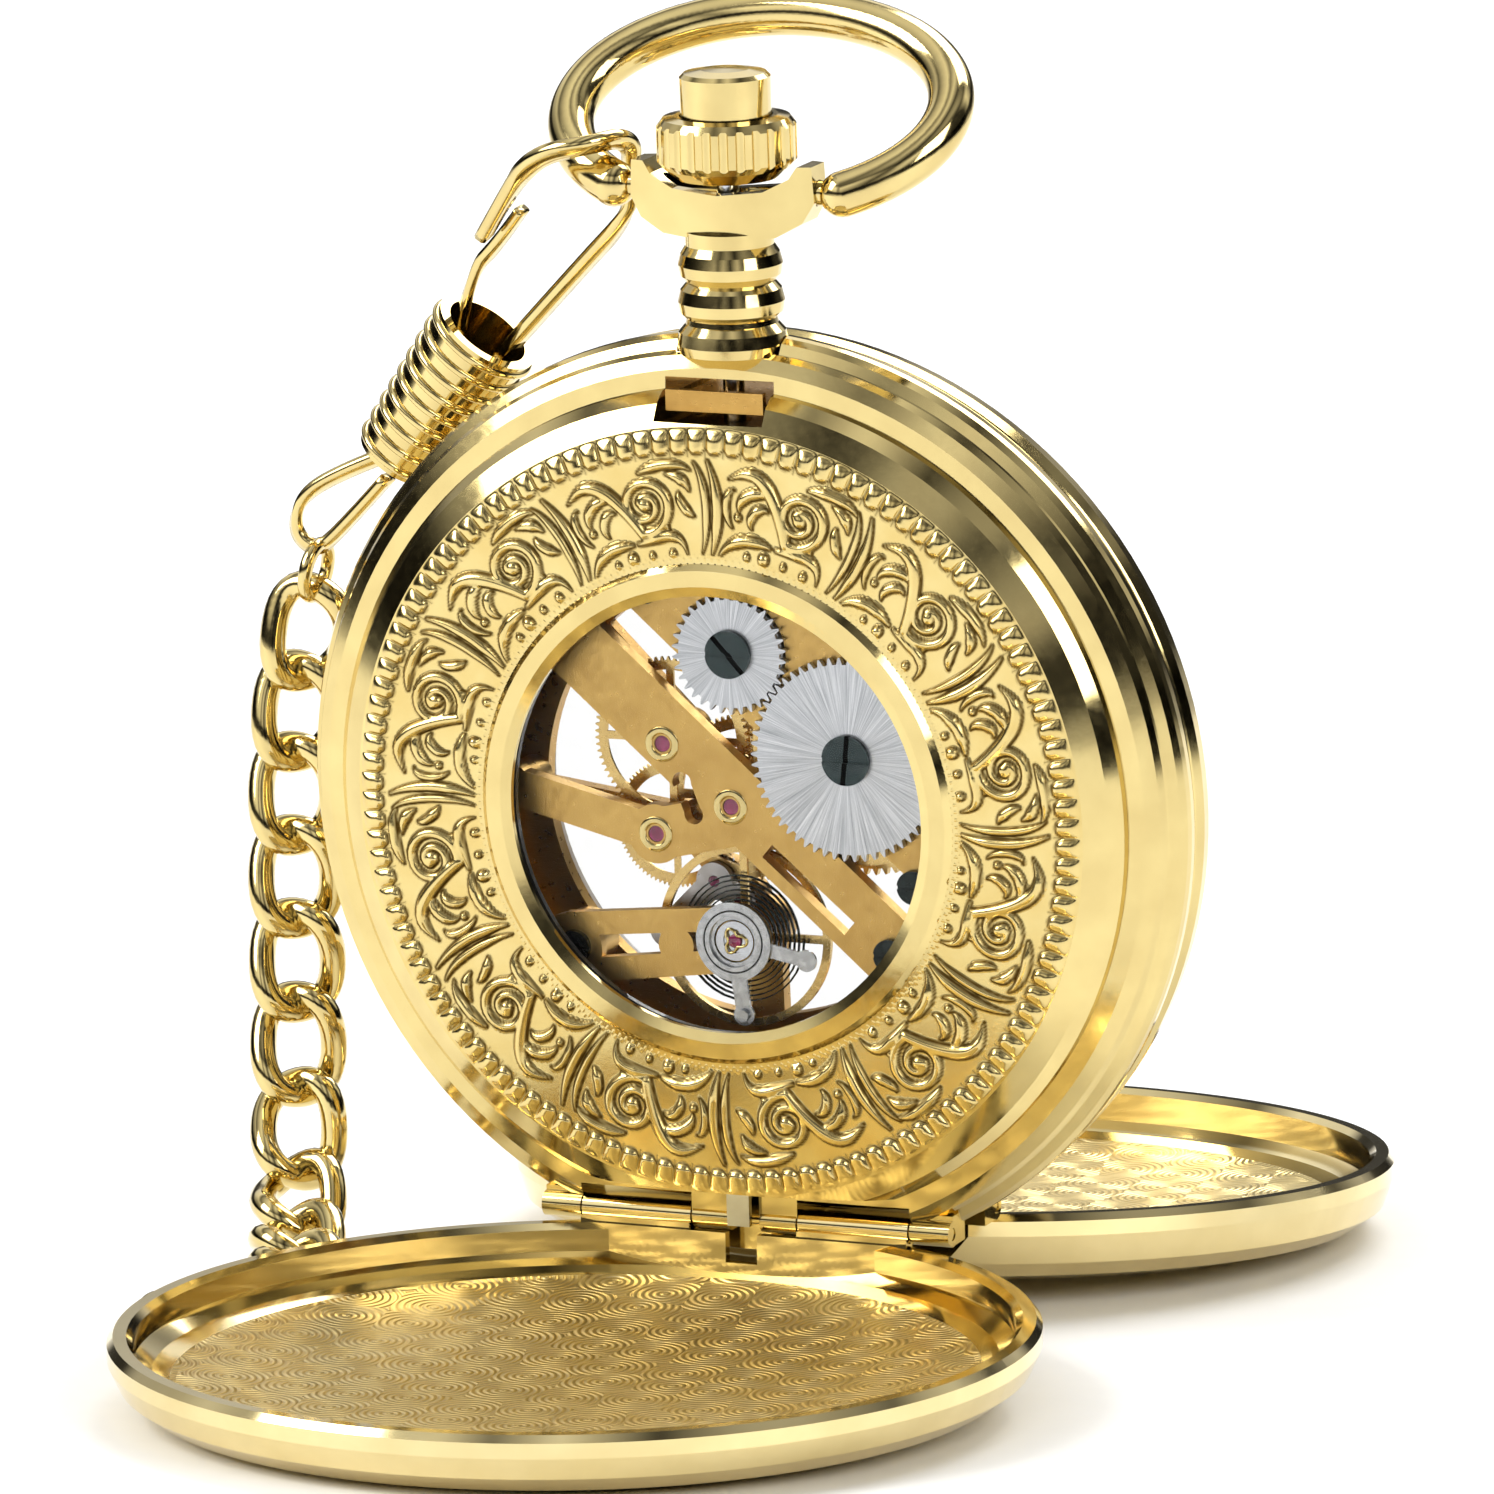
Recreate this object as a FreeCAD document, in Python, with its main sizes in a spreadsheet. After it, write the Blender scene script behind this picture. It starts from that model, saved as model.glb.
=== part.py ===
"""Skeleton pocket watch with two hinged covers, its bow, its clip and its fob chain.

Two frames are used.  The row frame has its origin on the ground between the open
covers, +Z up, with the movement side facing -Y.  The watch frame is the one the case
parts are drawn in: x to the right, y from the hinges to the crown, z out of the
movement side, centred on the case.  WATCH turns and lifts the watch frame into the
row frame.  Each cover is drawn lying open, in a frame of its own.
"""
import FreeCAD, Part
import math
import os

import Sketcher

Vector = FreeCAD.Vector
Rotation = FreeCAD.Rotation
Placement = FreeCAD.Placement

SIZES = [
    # alias, value (mm or degrees)
    ("case_radius", 23.5),
    ("bezel_radius", 21.05),
    ("case_bore", 18.4),
    ("back_shoulder", 2.6),
    ("front_shoulder", 4.0),
    ("window_radius", 11.0),
    ("dial_window", 16.2),
    ("cover_radius", 22.6),
    ("cover_wall", 1.25),
    ("cover_depth", 3.5),
    ("front_extra", 0.3),
    ("cover_floor", 0.5),
    ("hinge_reach", 21.1),
    ("hinge_rise", 0.6),
    ("knuckle_radius", 0.65),
    ("pin_radius", 0.3),
    ("lean_angle", 3.7),
    ("back_tilt", 2.0),
    ("front_tilt", 2.0),
    ("pendant_z", 0.8),
    ("pivot_height", 30.6),
    ("bow_lean", 53.0),
    ("bow_half_width", 9.95),
    ("bow_half_length", 6.65),
    ("bow_wire", 1.15),
    ("crown_radius", 3.45),
    ("button_radius", 2.25),
    ("movement_radius", 13.6),
    ("plate_top", -0.2),
    ("bridge_base", 2.0),
    ("bridge_top", 2.8),
    ("chain_radius", 2.0),
]

doc = FreeCAD.newDocument("PocketWatch")
sheet = doc.addObject("Spreadsheet::Sheet", "Sizes")
for row, (alias, value) in enumerate(SIZES, start=1):
    sheet.set("A%d" % row, alias)
    sheet.set("B%d" % row, repr(value))
    sheet.setAlias("B%d" % row, alias)
doc.recompute()

NODES = []


def size(expression):
    """Value of an expression over the sheet's aliases; a plain number passes through."""
    if isinstance(expression, str):
        return float(sheet.evalExpression(expression))
    return float(expression)


def bind(obj, prop, expression):
    """Set a property from an expression over the sheet, or from a plain number."""
    if isinstance(expression, str):
        obj.setExpression(prop, linked(expression))
    else:
        setattr(obj, prop, expression)


def linked(expression):
    """The same expression as seen from another object of the document."""
    out = expression
    for alias, _ in SIZES:
        out = out.replace(alias, "Sizes." + alias)
    return out


def finish(obj, name, placement=None):
    """Name a sub-part, place it and put it on the list of files to write."""
    obj.Label = name
    if placement is not None:
        obj.Placement = placement
    NODES.append(obj)
    return obj


# ------------------------------------------------------------------ frames
def turn_x(degrees):
    return Rotation(Vector(1, 0, 0), degrees)


def hinge_point(side):
    """Hinge axis of one cover in the watch frame: side +1 is the movement side."""
    middle = (size("back_shoulder") - size("front_shoulder")) / 2
    half = (size("back_shoulder") + size("front_shoulder")) / 2
    inset = half + 0.1 - size("hinge_rise")
    return Vector(0, -size("hinge_reach"), middle + side * inset)


def lowest(profile, tilt):
    """How far a tilted cover hangs below its own centre."""
    slope = math.radians(tilt)
    return max(-z * math.cos(slope) + r * math.sin(slope) for r, z in profile)


def cover_outside(extra):
    """Outer profile of a cover, from its axis to the rim plane."""
    r = size("cover_radius")
    d = size("cover_depth") + extra
    return [(0, -d), (r - 5.6, -d), (r - 3.1, 0.1 - d), (r - 1.6, 0.5 - d), (r - 0.5, 1.3 - d),
            (r, -1.1), (r, -0.35), (r - 0.3, 0)]


def watch_placement():
    """Stand the case on its open back cover, leaning towards the movement side."""
    rot = turn_x(90 + size("lean_angle"))
    back = rot.multVec(hinge_point(+1))
    front = rot.multVec(hinge_point(-1))
    tilt = size("back_tilt")
    arm = turn_x(tilt).multVec(Vector(0, size("hinge_reach"), size("hinge_rise")))
    lift = lowest(cover_outside(0), tilt) + arm.z - back.z
    return Placement(Vector(0, -(back.y + front.y) / 2, lift), rot)


WATCH = watch_placement()


def cover_hinge_offset(side):
    """From the centre of a lying cover's rim to its hinge axis."""
    tilt = size("back_tilt") if side > 0 else -size("front_tilt")
    rot = turn_x(tilt)
    return rot, rot.multVec(Vector(0, side * size("hinge_reach"), size("hinge_rise")))


def settle_front_cover():
    """Make the front cover just deep enough to reach the ground as well."""
    arm = cover_hinge_offset(-1)[1]
    height = WATCH.multVec(hinge_point(-1)).z - arm.z
    tilt = size("front_tilt")
    extra = (height - lowest(cover_outside(0), tilt)) / math.cos(math.radians(tilt))
    sheet.set("front_extra", repr(round(extra, 4)))
    doc.recompute()


def cover_placement(side):
    """Lay a cover down on its side of the hinge."""
    rot, arm = cover_hinge_offset(side)
    return Placement(WATCH.multVec(hinge_point(side)) - arm, rot)


# ------------------------------------------------------------------ makers
def profile_sketch(body, name, role, points):
    """A closed outline of straight edges, each corner pinned to the sketch's axes."""
    sketch = body.newObject("Sketcher::SketchObject", name)
    plane = [f for f in body.Origin.OriginFeatures if f.Role == role][0]
    sketch.AttachmentSupport = [(plane, "")]
    sketch.MapMode = "FlatFace"
    values = [(size(u), size(v)) for u, v in points]
    count = len(points)
    for i in range(count):
        (u0, v0), (u1, v1) = values[i], values[(i + 1) % count]
        sketch.addGeometry(Part.LineSegment(Vector(u0, v0, 0), Vector(u1, v1, 0)), False)
    for i in range(count):
        sketch.addConstraint(Sketcher.Constraint("Coincident", i, 2, (i + 1) % count, 1))
    for i in range(count):
        for axis, kind, line in ((0, "DistanceX", -2), (1, "DistanceY", -1)):
            if abs(values[i][axis]) < 1e-9:
                sketch.addConstraint(Sketcher.Constraint("PointOnObject", i, 1, line))
                continue
            number = sketch.addConstraint(
                Sketcher.Constraint(kind, -1, 1, i, 1, values[i][axis]))
            if isinstance(points[i][axis], str):
                label = "p%d_%d" % (i, axis)
                sketch.renameConstraint(number, label)
                sketch.setExpression("Constraints." + label, linked(points[i][axis]))
    return sketch


def turned(name, points):
    """A PartDesign revolution about the local Z axis; points are (radius, height)."""
    body = doc.addObject("PartDesign::Body", name)
    sketch = profile_sketch(body, name + "_outline", "XZ_Plane", points)
    spin = body.newObject("PartDesign::Revolution", name + "_turned")
    spin.Profile = sketch
    spin.ReferenceAxis = (sketch, ["V_Axis"])
    spin.Angle = 360
    body.Tip = spin
    return body


def padded(name, points, base, height):
    """A PartDesign pad of an outline in the local XY plane, from base upwards."""
    body = doc.addObject("PartDesign::Body", name)
    sketch = profile_sketch(body, name + "_outline", "XY_Plane", points)
    sketch.AttachmentOffset = Placement(Vector(0, 0, base), Rotation())
    pad = body.newObject("PartDesign::Pad", name + "_pad")
    pad.Profile = sketch
    bind(pad, "Length", height)
    body.Tip = pad
    return body


def box(x0, x1, y0, y1, z0, z1):
    obj = doc.addObject("Part::Box", "Block")
    obj.Length, obj.Width, obj.Height = x1 - x0, y1 - y0, z1 - z0
    obj.Placement = Placement(Vector(x0, y0, z0), Rotation())
    return obj


def cylinder(radius, start, end):
    """A cylinder between two points; the radius may be an expression."""
    a, b = Vector(*start), Vector(*end)
    obj = doc.addObject("Part::Cylinder", "Round")
    bind(obj, "Radius", radius)
    obj.Height = (b - a).Length
    obj.Placement = Placement(a, Rotation(Vector(0, 0, 1), b - a))
    return obj


def disc(radius, at, z0, z1):
    return cylinder(radius, (at[0], at[1], z0), (at[0], at[1], z1))


def bar(start, end, width, z0, z1):
    """A flat bar with square ends between two points of the watch's face."""
    length = math.hypot(end[0] - start[0], end[1] - start[1])
    obj = doc.addObject("Part::Box", "Bar")
    obj.Length, obj.Width, obj.Height = length, width, z1 - z0
    angle = math.degrees(math.atan2(end[1] - start[1], end[0] - start[0]))
    rot = Rotation(Vector(0, 0, 1), angle)
    obj.Placement = Placement(Vector(start[0], start[1], z0) + rot.multVec(Vector(0, -width / 2, 0)), rot)
    return obj


def fuse(parts, name="Joined"):
    obj = doc.addObject("Part::MultiFuse", name)
    obj.Shapes = parts
    obj.Refine = True
    return obj


def cut(base, tools, name="Trimmed"):
    tool = tools[0] if len(tools) == 1 else fuse(tools, "Tools")
    obj = doc.addObject("Part::Cut", name)
    obj.Base, obj.Tool = base, tool
    obj.Refine = True
    return obj


def common(first, second, name="Shared"):
    obj = doc.addObject("Part::MultiCommon", name)
    obj.Shapes = [first, second]
    return obj


def coded(shape, name, placement):
    """A shape that is made in code, such as a toothed wheel or a sweep."""
    obj = doc.addObject("Part::Feature", name)
    obj.Shape = shape
    obj.Placement = placement
    return obj


def ring_shape(outer, inner, z0, z1, at=(0, 0)):
    made = Part.makeCylinder(outer, z1 - z0, Vector(at[0], at[1], z0))
    if inner > 0:
        made = made.cut(Part.makeCylinder(inner, z1 - z0 + 2, Vector(at[0], at[1], z0 - 1)))
    return made


def toothed(teeth, module, z0, z1, at, phase=0.0, addendum=0.8, dedendum=1.1, fill=0.36):
    """A disc with pointed teeth; phase is in teeth, fill is the tooth's share of a pitch."""
    pitch = module * teeth / 2
    tip, root = pitch + addendum * module, pitch - dedendum * module
    step = 2 * math.pi / teeth
    points = []
    for i in range(teeth):
        middle = (i + phase) * step
        for radius, offset in ((root, -0.30), (pitch, -fill / 2), (tip, -0.07),
                               (tip, 0.07), (pitch, fill / 2), (root, 0.30)):
            angle = middle + offset * step
            points.append(Vector(at[0] + radius * math.cos(angle),
                                 at[1] + radius * math.sin(angle), z0))
    points.append(points[0])
    return Part.Face(Part.makePolygon(points)).extrude(Vector(0, 0, z1 - z0))


def spokes_cut(blank, count, hub, rim, width, z0, z1, at):
    """Open a wheel between its hub and rim, leaving straight spokes."""
    window = ring_shape(rim, hub, z0 - 0.1, z1 + 0.1, at)
    for i in range(count):
        arm = Part.makeBox(rim + 1, width, z1 - z0 + 1, Vector(0, -width / 2, z0 - 0.5))
        arm.rotate(Vector(0, 0, 0), Vector(0, 0, 1), 360.0 * i / count)
        arm.translate(Vector(at[0], at[1], 0))
        window = window.cut(arm)
    return blank.cut(window)


def mesh_phase(follower_teeth, follower_at, leader_teeth, leader_at, leader_phase):
    """Phase that puts a gap of the follower opposite a tooth of the leader."""
    angle = math.atan2(follower_at[1] - leader_at[1], follower_at[0] - leader_at[0])
    leader_turn = angle / (2 * math.pi) * leader_teeth - leader_phase
    follower_turn = (angle + math.pi) / (2 * math.pi) * follower_teeth
    return follower_turn + leader_turn + 0.5


# ------------------------------------------------------------------ case
HINGE_HALF = 11.0
COVER_KNUCKLE = (2.9, 8.8)
CASE_KNUCKLE = (0.85, 2.8)
CASE_LUG = (8.9, 11.0)
SWING = 1.35
SLOT = (2.9, 19.5, 21.45)


def mirrored(z, side):
    """Height of a feature repeated on the other side of the case band's middle."""
    middle = (size("back_shoulder") - size("front_shoulder")) / 2
    return z if side > 0 else 2 * middle - z


def side_ring(side, outer, inner, z0, z1):
    a, b = sorted((mirrored(z0, side), mirrored(z1, side)))
    return cut(disc(outer, (0, 0), a, b), [disc(inner, (0, 0), a - 1, b + 1)])


def side_box(side, x0, x1, y0, y1, z0, z1):
    a, b = mirrored(z0, side), mirrored(z1, side)
    return box(x0, x1, y0, y1, min(a, b), max(a, b))


def case_outline():
    c, b = "case_radius", "bezel_radius"
    s, f = "back_shoulder", "front_shoulder"
    return [("case_bore", s), (b, s), (b + " + 0.9", s + " - 0.05"), (c + " - 0.9", s + " - 0.4"),
            (c + " - 0.7", s + " - 0.8"), (c + " - 0.95", s + " - 1.0"), (c + " - 0.75", s + " - 1.15"),
            (c + " - 0.25", 1.2), (c + " - 0.04", 0.8), (c, 0.4), (c + " - 0.05", -0.1),
            (c + " - 0.2", -0.55), (c + " - 0.45", -0.8), (c + " - 0.65", -1.0), (c + " - 0.4", -1.25),
            (c + " - 0.2", -1.8), (c + " - 0.3", -2.6), (c + " - 0.7", -3.2), (c + " - 1.0", -3.5),
            (b + " + 0.9", "-" + f + " + 0.05"), (b, "-" + f), ("case_bore", "-" + f)]


def make_case_middle():
    """The band: a turned ring with hinge lugs, swing channels, catch slot and stem hole."""
    ring = turned("case_ring", case_outline())
    zp = size("pendant_z")
    cuts = [cylinder(2.8, (0, 22.5, zp), (0, 26, zp)), cylinder(0.75, (0, 17, zp), (0, 24, zp)),
            box(-SLOT[0], SLOT[0], SLOT[1], SLOT[2], -6, 6)]
    adds = []
    for side in (+1, -1):
        hinge = hinge_point(side)
        for sign in (+1, -1):
            ends = sorted((sign * (COVER_KNUCKLE[0] - 0.05), sign * (COVER_KNUCKLE[1] + 0.07)))
            cuts.append(cylinder(SWING, (ends[0], hinge.y, hinge.z), (ends[1], hinge.y, hinge.z)))
        cuts.append(side_box(side, -9.6, 9.6, -24.5, -20.8, 1.95, 3.2))
        cuts.append(side_box(side, -0.8, 0.8, -20.3, -19.1, 0.4, 3.2))
        channel = side_ring(side, 19.25, 18.0, 0.45, 1.4)
        cuts.append(common(channel, box(-10.3, 10.3, -24, -15.7, -8, 8)))
        for low, high in (CASE_KNUCKLE, CASE_LUG):
            for sign in (+1, -1):
                ends = sorted((sign * low, sign * high))
                adds.append(cylinder("knuckle_radius", (ends[0], hinge.y, hinge.z),
                                     (ends[1], hinge.y, hinge.z)))
                adds.append(side_box(side, ends[0], ends[1], hinge.y - 0.6, -20.2, 0.6, 2.1))
    solid = fuse([cut(ring, cuts)] + adds)
    bores = [cylinder("pin_radius + 0.02", (-HINGE_HALF + 0.3, -size("hinge_reach"), hinge_point(s).z),
                      (HINGE_HALF + 1, -size("hinge_reach"), hinge_point(s).z)) for s in (+1, -1)]
    finish(cut(solid, bores), "case_middle", WATCH)


def make_bezels():
    """The two rings that close the case; each is cut flat above its hinge."""
    b, s, f = "bezel_radius", "back_shoulder", "front_shoulder"
    w, d = "window_radius", "dial_window"
    back = turned("back_bezel_ring", [
        (w, 4.45), (w, 4.75), (w + " + 0.5", 4.95), (w + " + 1.3", 4.9), (w + " + 1.6", 4.6),
        (w + " + 2.4", 4.55), (b + " - 3.25", 4.55), (b + " - 1.75", 4.45), (b + " - 0.55", 3.7),
        (b + " - 0.05", 3.0), (b, s + " + 0.02"), ("case_bore - 0.08", s + " + 0.02"),
        ("case_bore - 0.08", 1.6), ("case_bore - 1.0", 1.6), ("case_bore - 1.0", 3.6),
        (w + " + 1.05", 3.4), (w + " + 1.05", 4.45)])
    flat = box(-24, 24, -25, -19.3, 1.4, 6)
    slot = box(-SLOT[0], SLOT[0], SLOT[1], SLOT[2], 1.4, 6)
    finish(cut(back, [flat, slot]), "back_bezel", WATCH)
    front = turned("front_bezel_ring", [
        (d, -6.3), (d + " + 1.1", -6.3), (d + " + 1.1", -4.95), ("case_bore - 1.0", -4.9),
        ("case_bore - 1.0", -3.0), ("case_bore - 0.08", -3.0), ("case_bore - 0.08", "-" + f + " - 0.02"),
        (b, "-" + f + " - 0.02"), (b + " - 0.05", -4.5), (b + " - 0.45", -5.3), (b + " - 1.65", -6.1),
        (d + " + 1.4", -6.5), (d + " + 0.4", -6.6), (d, -6.45)])
    flat = box(-24, 24, -25, -19.3, -8, -2.9)
    slot = box(-SLOT[0], SLOT[0], SLOT[1], SLOT[2], -8, -2.9)
    finish(cut(front, [flat, slot]), "front_bezel", WATCH)


def make_crystals():
    """Flat glass on both sides, each held from inside by a gasket."""
    w, d = "window_radius", "dial_window"
    finish(turned("back_glass", [(0, 3.8), (w + " + 1.0", 3.8), (w + " + 1.0", 4.4), (0, 4.4)]),
           "back_crystal", WATCH)
    finish(turned("back_seal", [(w + " + 0.2", 3.45), (w + " + 1.0", 3.45), (w + " + 1.0", 3.78),
                                (w + " + 0.2", 3.78)]), "back_gasket", WATCH)
    finish(turned("front_glass", [(0, -6.2), (d + " + 1.0", -6.2), (d + " + 1.0", -5.6), (0, -5.6)]),
           "front_crystal", WATCH)
    finish(turned("front_seal", [(d + " + 0.3", -5.58), (d + " + 1.0", -5.58), (d + " + 1.0", -5.1),
                                 (d + " + 0.3", -5.1)]), "front_gasket", WATCH)


def make_inner_rings():
    """The ring that holds the movement in the case, and the open dial ring."""
    m = "movement_radius"
    holder = turned("holder_ring", [(m + " + 0.1", -2.35), ("case_bore - 0.1", -2.35), ("case_bore - 0.1", 1.4),
                                    (m + " + 0.1", 1.4)])
    zp = size("pendant_z")
    finish(cut(holder, [cylinder(0.75, (0, 10, zp), (0, 20, zp))]), "movement_ring", WATCH)
    finish(turned("dial_ring", [(12.0, -2.9), (17.2, -2.9), (17.2, -2.5), (12.0, -2.5)]), "dial", WATCH)


def make_hinge_pins():
    for side, name in ((+1, "back_hinge_pin"), (-1, "front_hinge_pin")):
        hinge = hinge_point(side)
        finish(cylinder("pin_radius", (-HINGE_HALF + 0.35, hinge.y, hinge.z),
                        (HINGE_HALF - 0.05, hinge.y, hinge.z)), name, None)
        NODES[-1].Placement = WATCH.multiply(NODES[-1].Placement)


def make_lift_springs():
    """Flat springs in the band whose tips reach over the hinge and push each cover open."""
    for side, name in ((+1, "back_lift_spring"), (-1, "front_lift_spring")):
        leaf = common(side_ring(side, 19.2, 18.75, 0.5, 1.35), box(-10, 10, -24, -16, -8, 8))
        leg = side_box(side, -0.6, 0.6, -19.85, -19.45, 0.6, 3.4)
        foot = side_box(side, -0.6, 0.6, -19.5, -18.9, 0.6, 1.3)
        tip = side_box(side, -0.6, 0.6, -21.2, -19.45, 3.05, 3.4)
        finish(fuse([leaf, leg, foot, tip]), name, WATCH)


def make_catch():
    """The catch spring at the crown end, a lip for each cover on one strip."""
    zp = size("pendant_z")
    strip = box(-2.6, 2.6, 19.9, 20.35, -4.7, 3.3)
    lips = [side_box(side, -2.6, 2.6, 20.3, 20.95, 2.9, 3.3) for side in (+1, -1)]
    finish(cut(fuse([strip] + lips), [cylinder(0.85, (0, 19, zp), (0, 22, zp))]), "cover_catch", WATCH)


# ------------------------------------------------------------------ covers
def make_cover(side, name):
    """A shallow cup with a flat wall at its hinge, two knuckles and a notch for the spring."""
    r, reach, rise = "cover_radius", size("hinge_reach"), size("hinge_rise")
    deep = "cover_depth" + ("" if side > 0 else " + front_extra")
    outer = turned(name + "_outside", [
        (0, "-(%s)" % deep), (r + " - 5.6", "-(%s)" % deep), (r + " - 3.1", "0.1 - (%s)" % deep),
        (r + " - 1.6", "0.5 - (%s)" % deep), (r + " - 0.5", "1.3 - (%s)" % deep), (r, -1.1), (r, -0.35),
        (r + " - 0.3", 0), (0, 0)])
    inner = turned(name + "_inside", [
        (0, "cover_floor - (%s)" % deep), (r + " - 14.6", "cover_floor + 0.05 - (%s)" % deep),
        (r + " - 7.6", "cover_floor + 0.25 - (%s)" % deep), (r + " - 3.3", "cover_floor + 0.7 - (%s)" % deep),
        (r + " - 2.1", "cover_floor + 1.1 - (%s)" % deep), (r + " - cover_wall", "cover_floor + 1.6 - (%s)" % deep),
        (r + " - cover_wall", -0.3), (r + " - cover_wall + 0.3", 0), (r + " - cover_wall + 0.3", 1), (0, 1)])
    chord = reach - 0.5

    def span(low, high):
        return min(side * low, side * high), max(side * low, side * high)

    y0, y1 = span(chord - 0.5, chord)
    wall = common(outer, box(-12, 12, y0, y1, -6, 0))
    shell = cut(outer, [inner])
    y0, y1 = span(chord, 30)
    trimmed = cut(fuse([shell, wall]), [box(-30, 30, y0, y1, -9, 3)])
    adds, bores = [], []
    y0, y1 = span(chord - 0.3, reach)
    for sign in (+1, -1):
        ends = sorted((sign * COVER_KNUCKLE[0], sign * COVER_KNUCKLE[1]))
        adds.append(cylinder("knuckle_radius", (ends[0], side * reach, rise), (ends[1], side * reach, rise)))
        adds.append(box(ends[0], ends[1], y0, y1, -0.5, 0.3))
    bores.append(cylinder("pin_radius + 0.04", (-12, side * reach, rise), (12, side * reach, rise)))
    y0, y1 = span(chord - 0.8, chord + 0.2)
    bores.append(box(-0.85, 0.85, y0, y1, -1.5, 1))
    finish(cut(fuse([trimmed] + adds), bores), name, cover_placement(side))


# ------------------------------------------------------------------ pendant, bow, crown
PENDANT = Placement(Vector(0, 0, size("pendant_z")), turn_x(-90))
ON_PENDANT = WATCH.multiply(PENDANT)


def make_pendant():
    """The neck with its two beads, and the boat-shaped saddle whose ears hold the bow."""
    neck = turned("neck", [
        (0.8, 22.52), (2.6, 22.52), (2.75, 23.0), (2.65, 23.6), (2.3, 24.0), (2.25, 24.25), (2.55, 24.55),
        (2.65, 25.1), (2.5, 25.7), (2.2, 26.05), (2.5, 26.4), (2.6, 26.95), (2.45, 27.5), (2.2, 27.9),
        (2.2, 28.6), (0.8, 28.6)])
    neck.Placement = Placement(Vector(0, 0, 0), turn_x(-90))
    half = [(0, 30.5), (2.4, 30.75), (3.7, 31.4), (4.1, 32.0), (4.8, 32.0), (4.9, 30.2), (4.3, 29.2), (3.0, 28.5),
            (0, 28.2)]
    outline = half + [(-x, y) for x, y in reversed(half[1:-1])]
    saddle = padded("saddle", outline, -1.55, 3.1)
    lens = cylinder(16.0, (0, 20, -14.45), (0, 40, -14.45))
    lens_back = cylinder(16.0, (0, 20, 14.45), (0, 40, 14.45))
    shaped = common(common(saddle, lens), lens_back)
    pivot = size("pivot_height")
    holes = [cylinder(0.8, (0, 26, 0), (0, 34, 0)), cylinder(0.66, (-8, pivot, 0), (8, pivot, 0))]
    whole = cut(fuse([flip(neck), shaped]), holes)
    finish(whole, "pendant", WATCH.multiply(Placement(Vector(0, 0, size("pendant_z")), Rotation())))


def flip(body):
    """Stand a turned body up along the watch's y axis."""
    body.Placement = Placement(Vector(0, 0, 0), turn_x(-90))
    return body


def make_bow():
    """An oval ring of round wire, open between its two pivot ends."""
    a, b = size("bow_half_width"), size("bow_half_length")
    wire = size("bow_wire")
    rise = 5.25
    start = math.asin(-rise / b)
    oval = Part.Ellipse(Vector(0, rise, 0), a, b)
    path = Part.Wire([oval.toShape(start, math.pi - start)])
    first = Vector(a * math.cos(start), 0, 0)
    tangent = Vector(-a * math.sin(start), b * math.cos(start), 0)
    circle = Part.Wire([Part.Circle(first, tangent, wire).toShape()])
    ring = path.makePipeShell([circle], True, False)
    ends = []
    for sign in (+1, -1):
        pin = Part.makeCylinder(0.62, 2.2, Vector(sign * 4.35, 0, 0), Vector(sign, 0, 0))
        collar = Part.makeSphere(wire, Vector(sign * first.x, 0, 0))
        neck = Part.makeCylinder(0.85, 0.9, Vector(sign * 5.5, 0, 0), Vector(sign, 0, 0))
        ends += [pin, collar, neck]
    shape = ring.multiFuse(ends).removeSplitter()
    stand = Rotation(Vector(1, 0, 0), Vector(0, 1, 0), Vector(0, 0, 1))
    lean = Rotation(Vector(1, 0, 0), -size("bow_lean"))
    local = Placement(Vector(0, size("pivot_height"), size("pendant_z")), lean.multiply(stand))
    finish(coded(shape, "bow", WATCH.multiply(local)), "bow")


def make_crown():
    """The fluted crown, open in the middle for the button that springs the front cover."""
    r, b = "crown_radius", "button_radius"
    blank = turned("crown_blank", [
        (0.62, 30.95), (1.2, 30.95), (r + " - 0.95", 31.2), (r + " - 0.3", 31.75), (r, 32.1), (r, 33.8),
        (r + " - 0.3", 34.2), (b + " + 0.3", 34.3), (b + " + 0.06", 34.3), (b + " + 0.06", 33.0), (0.62, 33.0)])
    flutes = []
    count = 26
    for i in range(count):
        angle = 2 * math.pi * i / count
        x, y = (size(r) + 0.13) * math.cos(angle), (size(r) + 0.13) * math.sin(angle)
        flutes.append(cylinder(0.27, (x, y, 31.9), (x, y, 33.95)))
    finish(cut(blank, flutes), "crown", ON_PENDANT)
    button = turned("button", [(0, 33.75), (b, 33.75), (b, 36.2), (b + " - 0.2", 36.4), (1.2, 36.55), (0, 36.6)])
    finish(button, "crown_button", ON_PENDANT)
    finish(turned("stem", [(0, 7.2), (0.55, 7.2), (0.55, 32.95), (0, 32.95)]), "winding_stem", ON_PENDANT)


# ------------------------------------------------------------------ movement
CENTRE = (0.0, 0.0)
BARREL = (6.5, 2.87)
THIRD = (-3.59, 2.97)
FOURTH = (-4.07, -1.62)
ESCAPE = (-1.75, -4.25)
PALLET = (-0.45, -5.20)
BALANCE = (0.11, -6.73)
CROWN_WHEEL = (0.35, 7.83)
MINUTE = (2.2, -2.04)
DIAGONAL = ((-8.9, 8.3), (9.4, -7.7))


def distance(a, b):
    return math.hypot(a[0] - b[0], a[1] - b[1])


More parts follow.
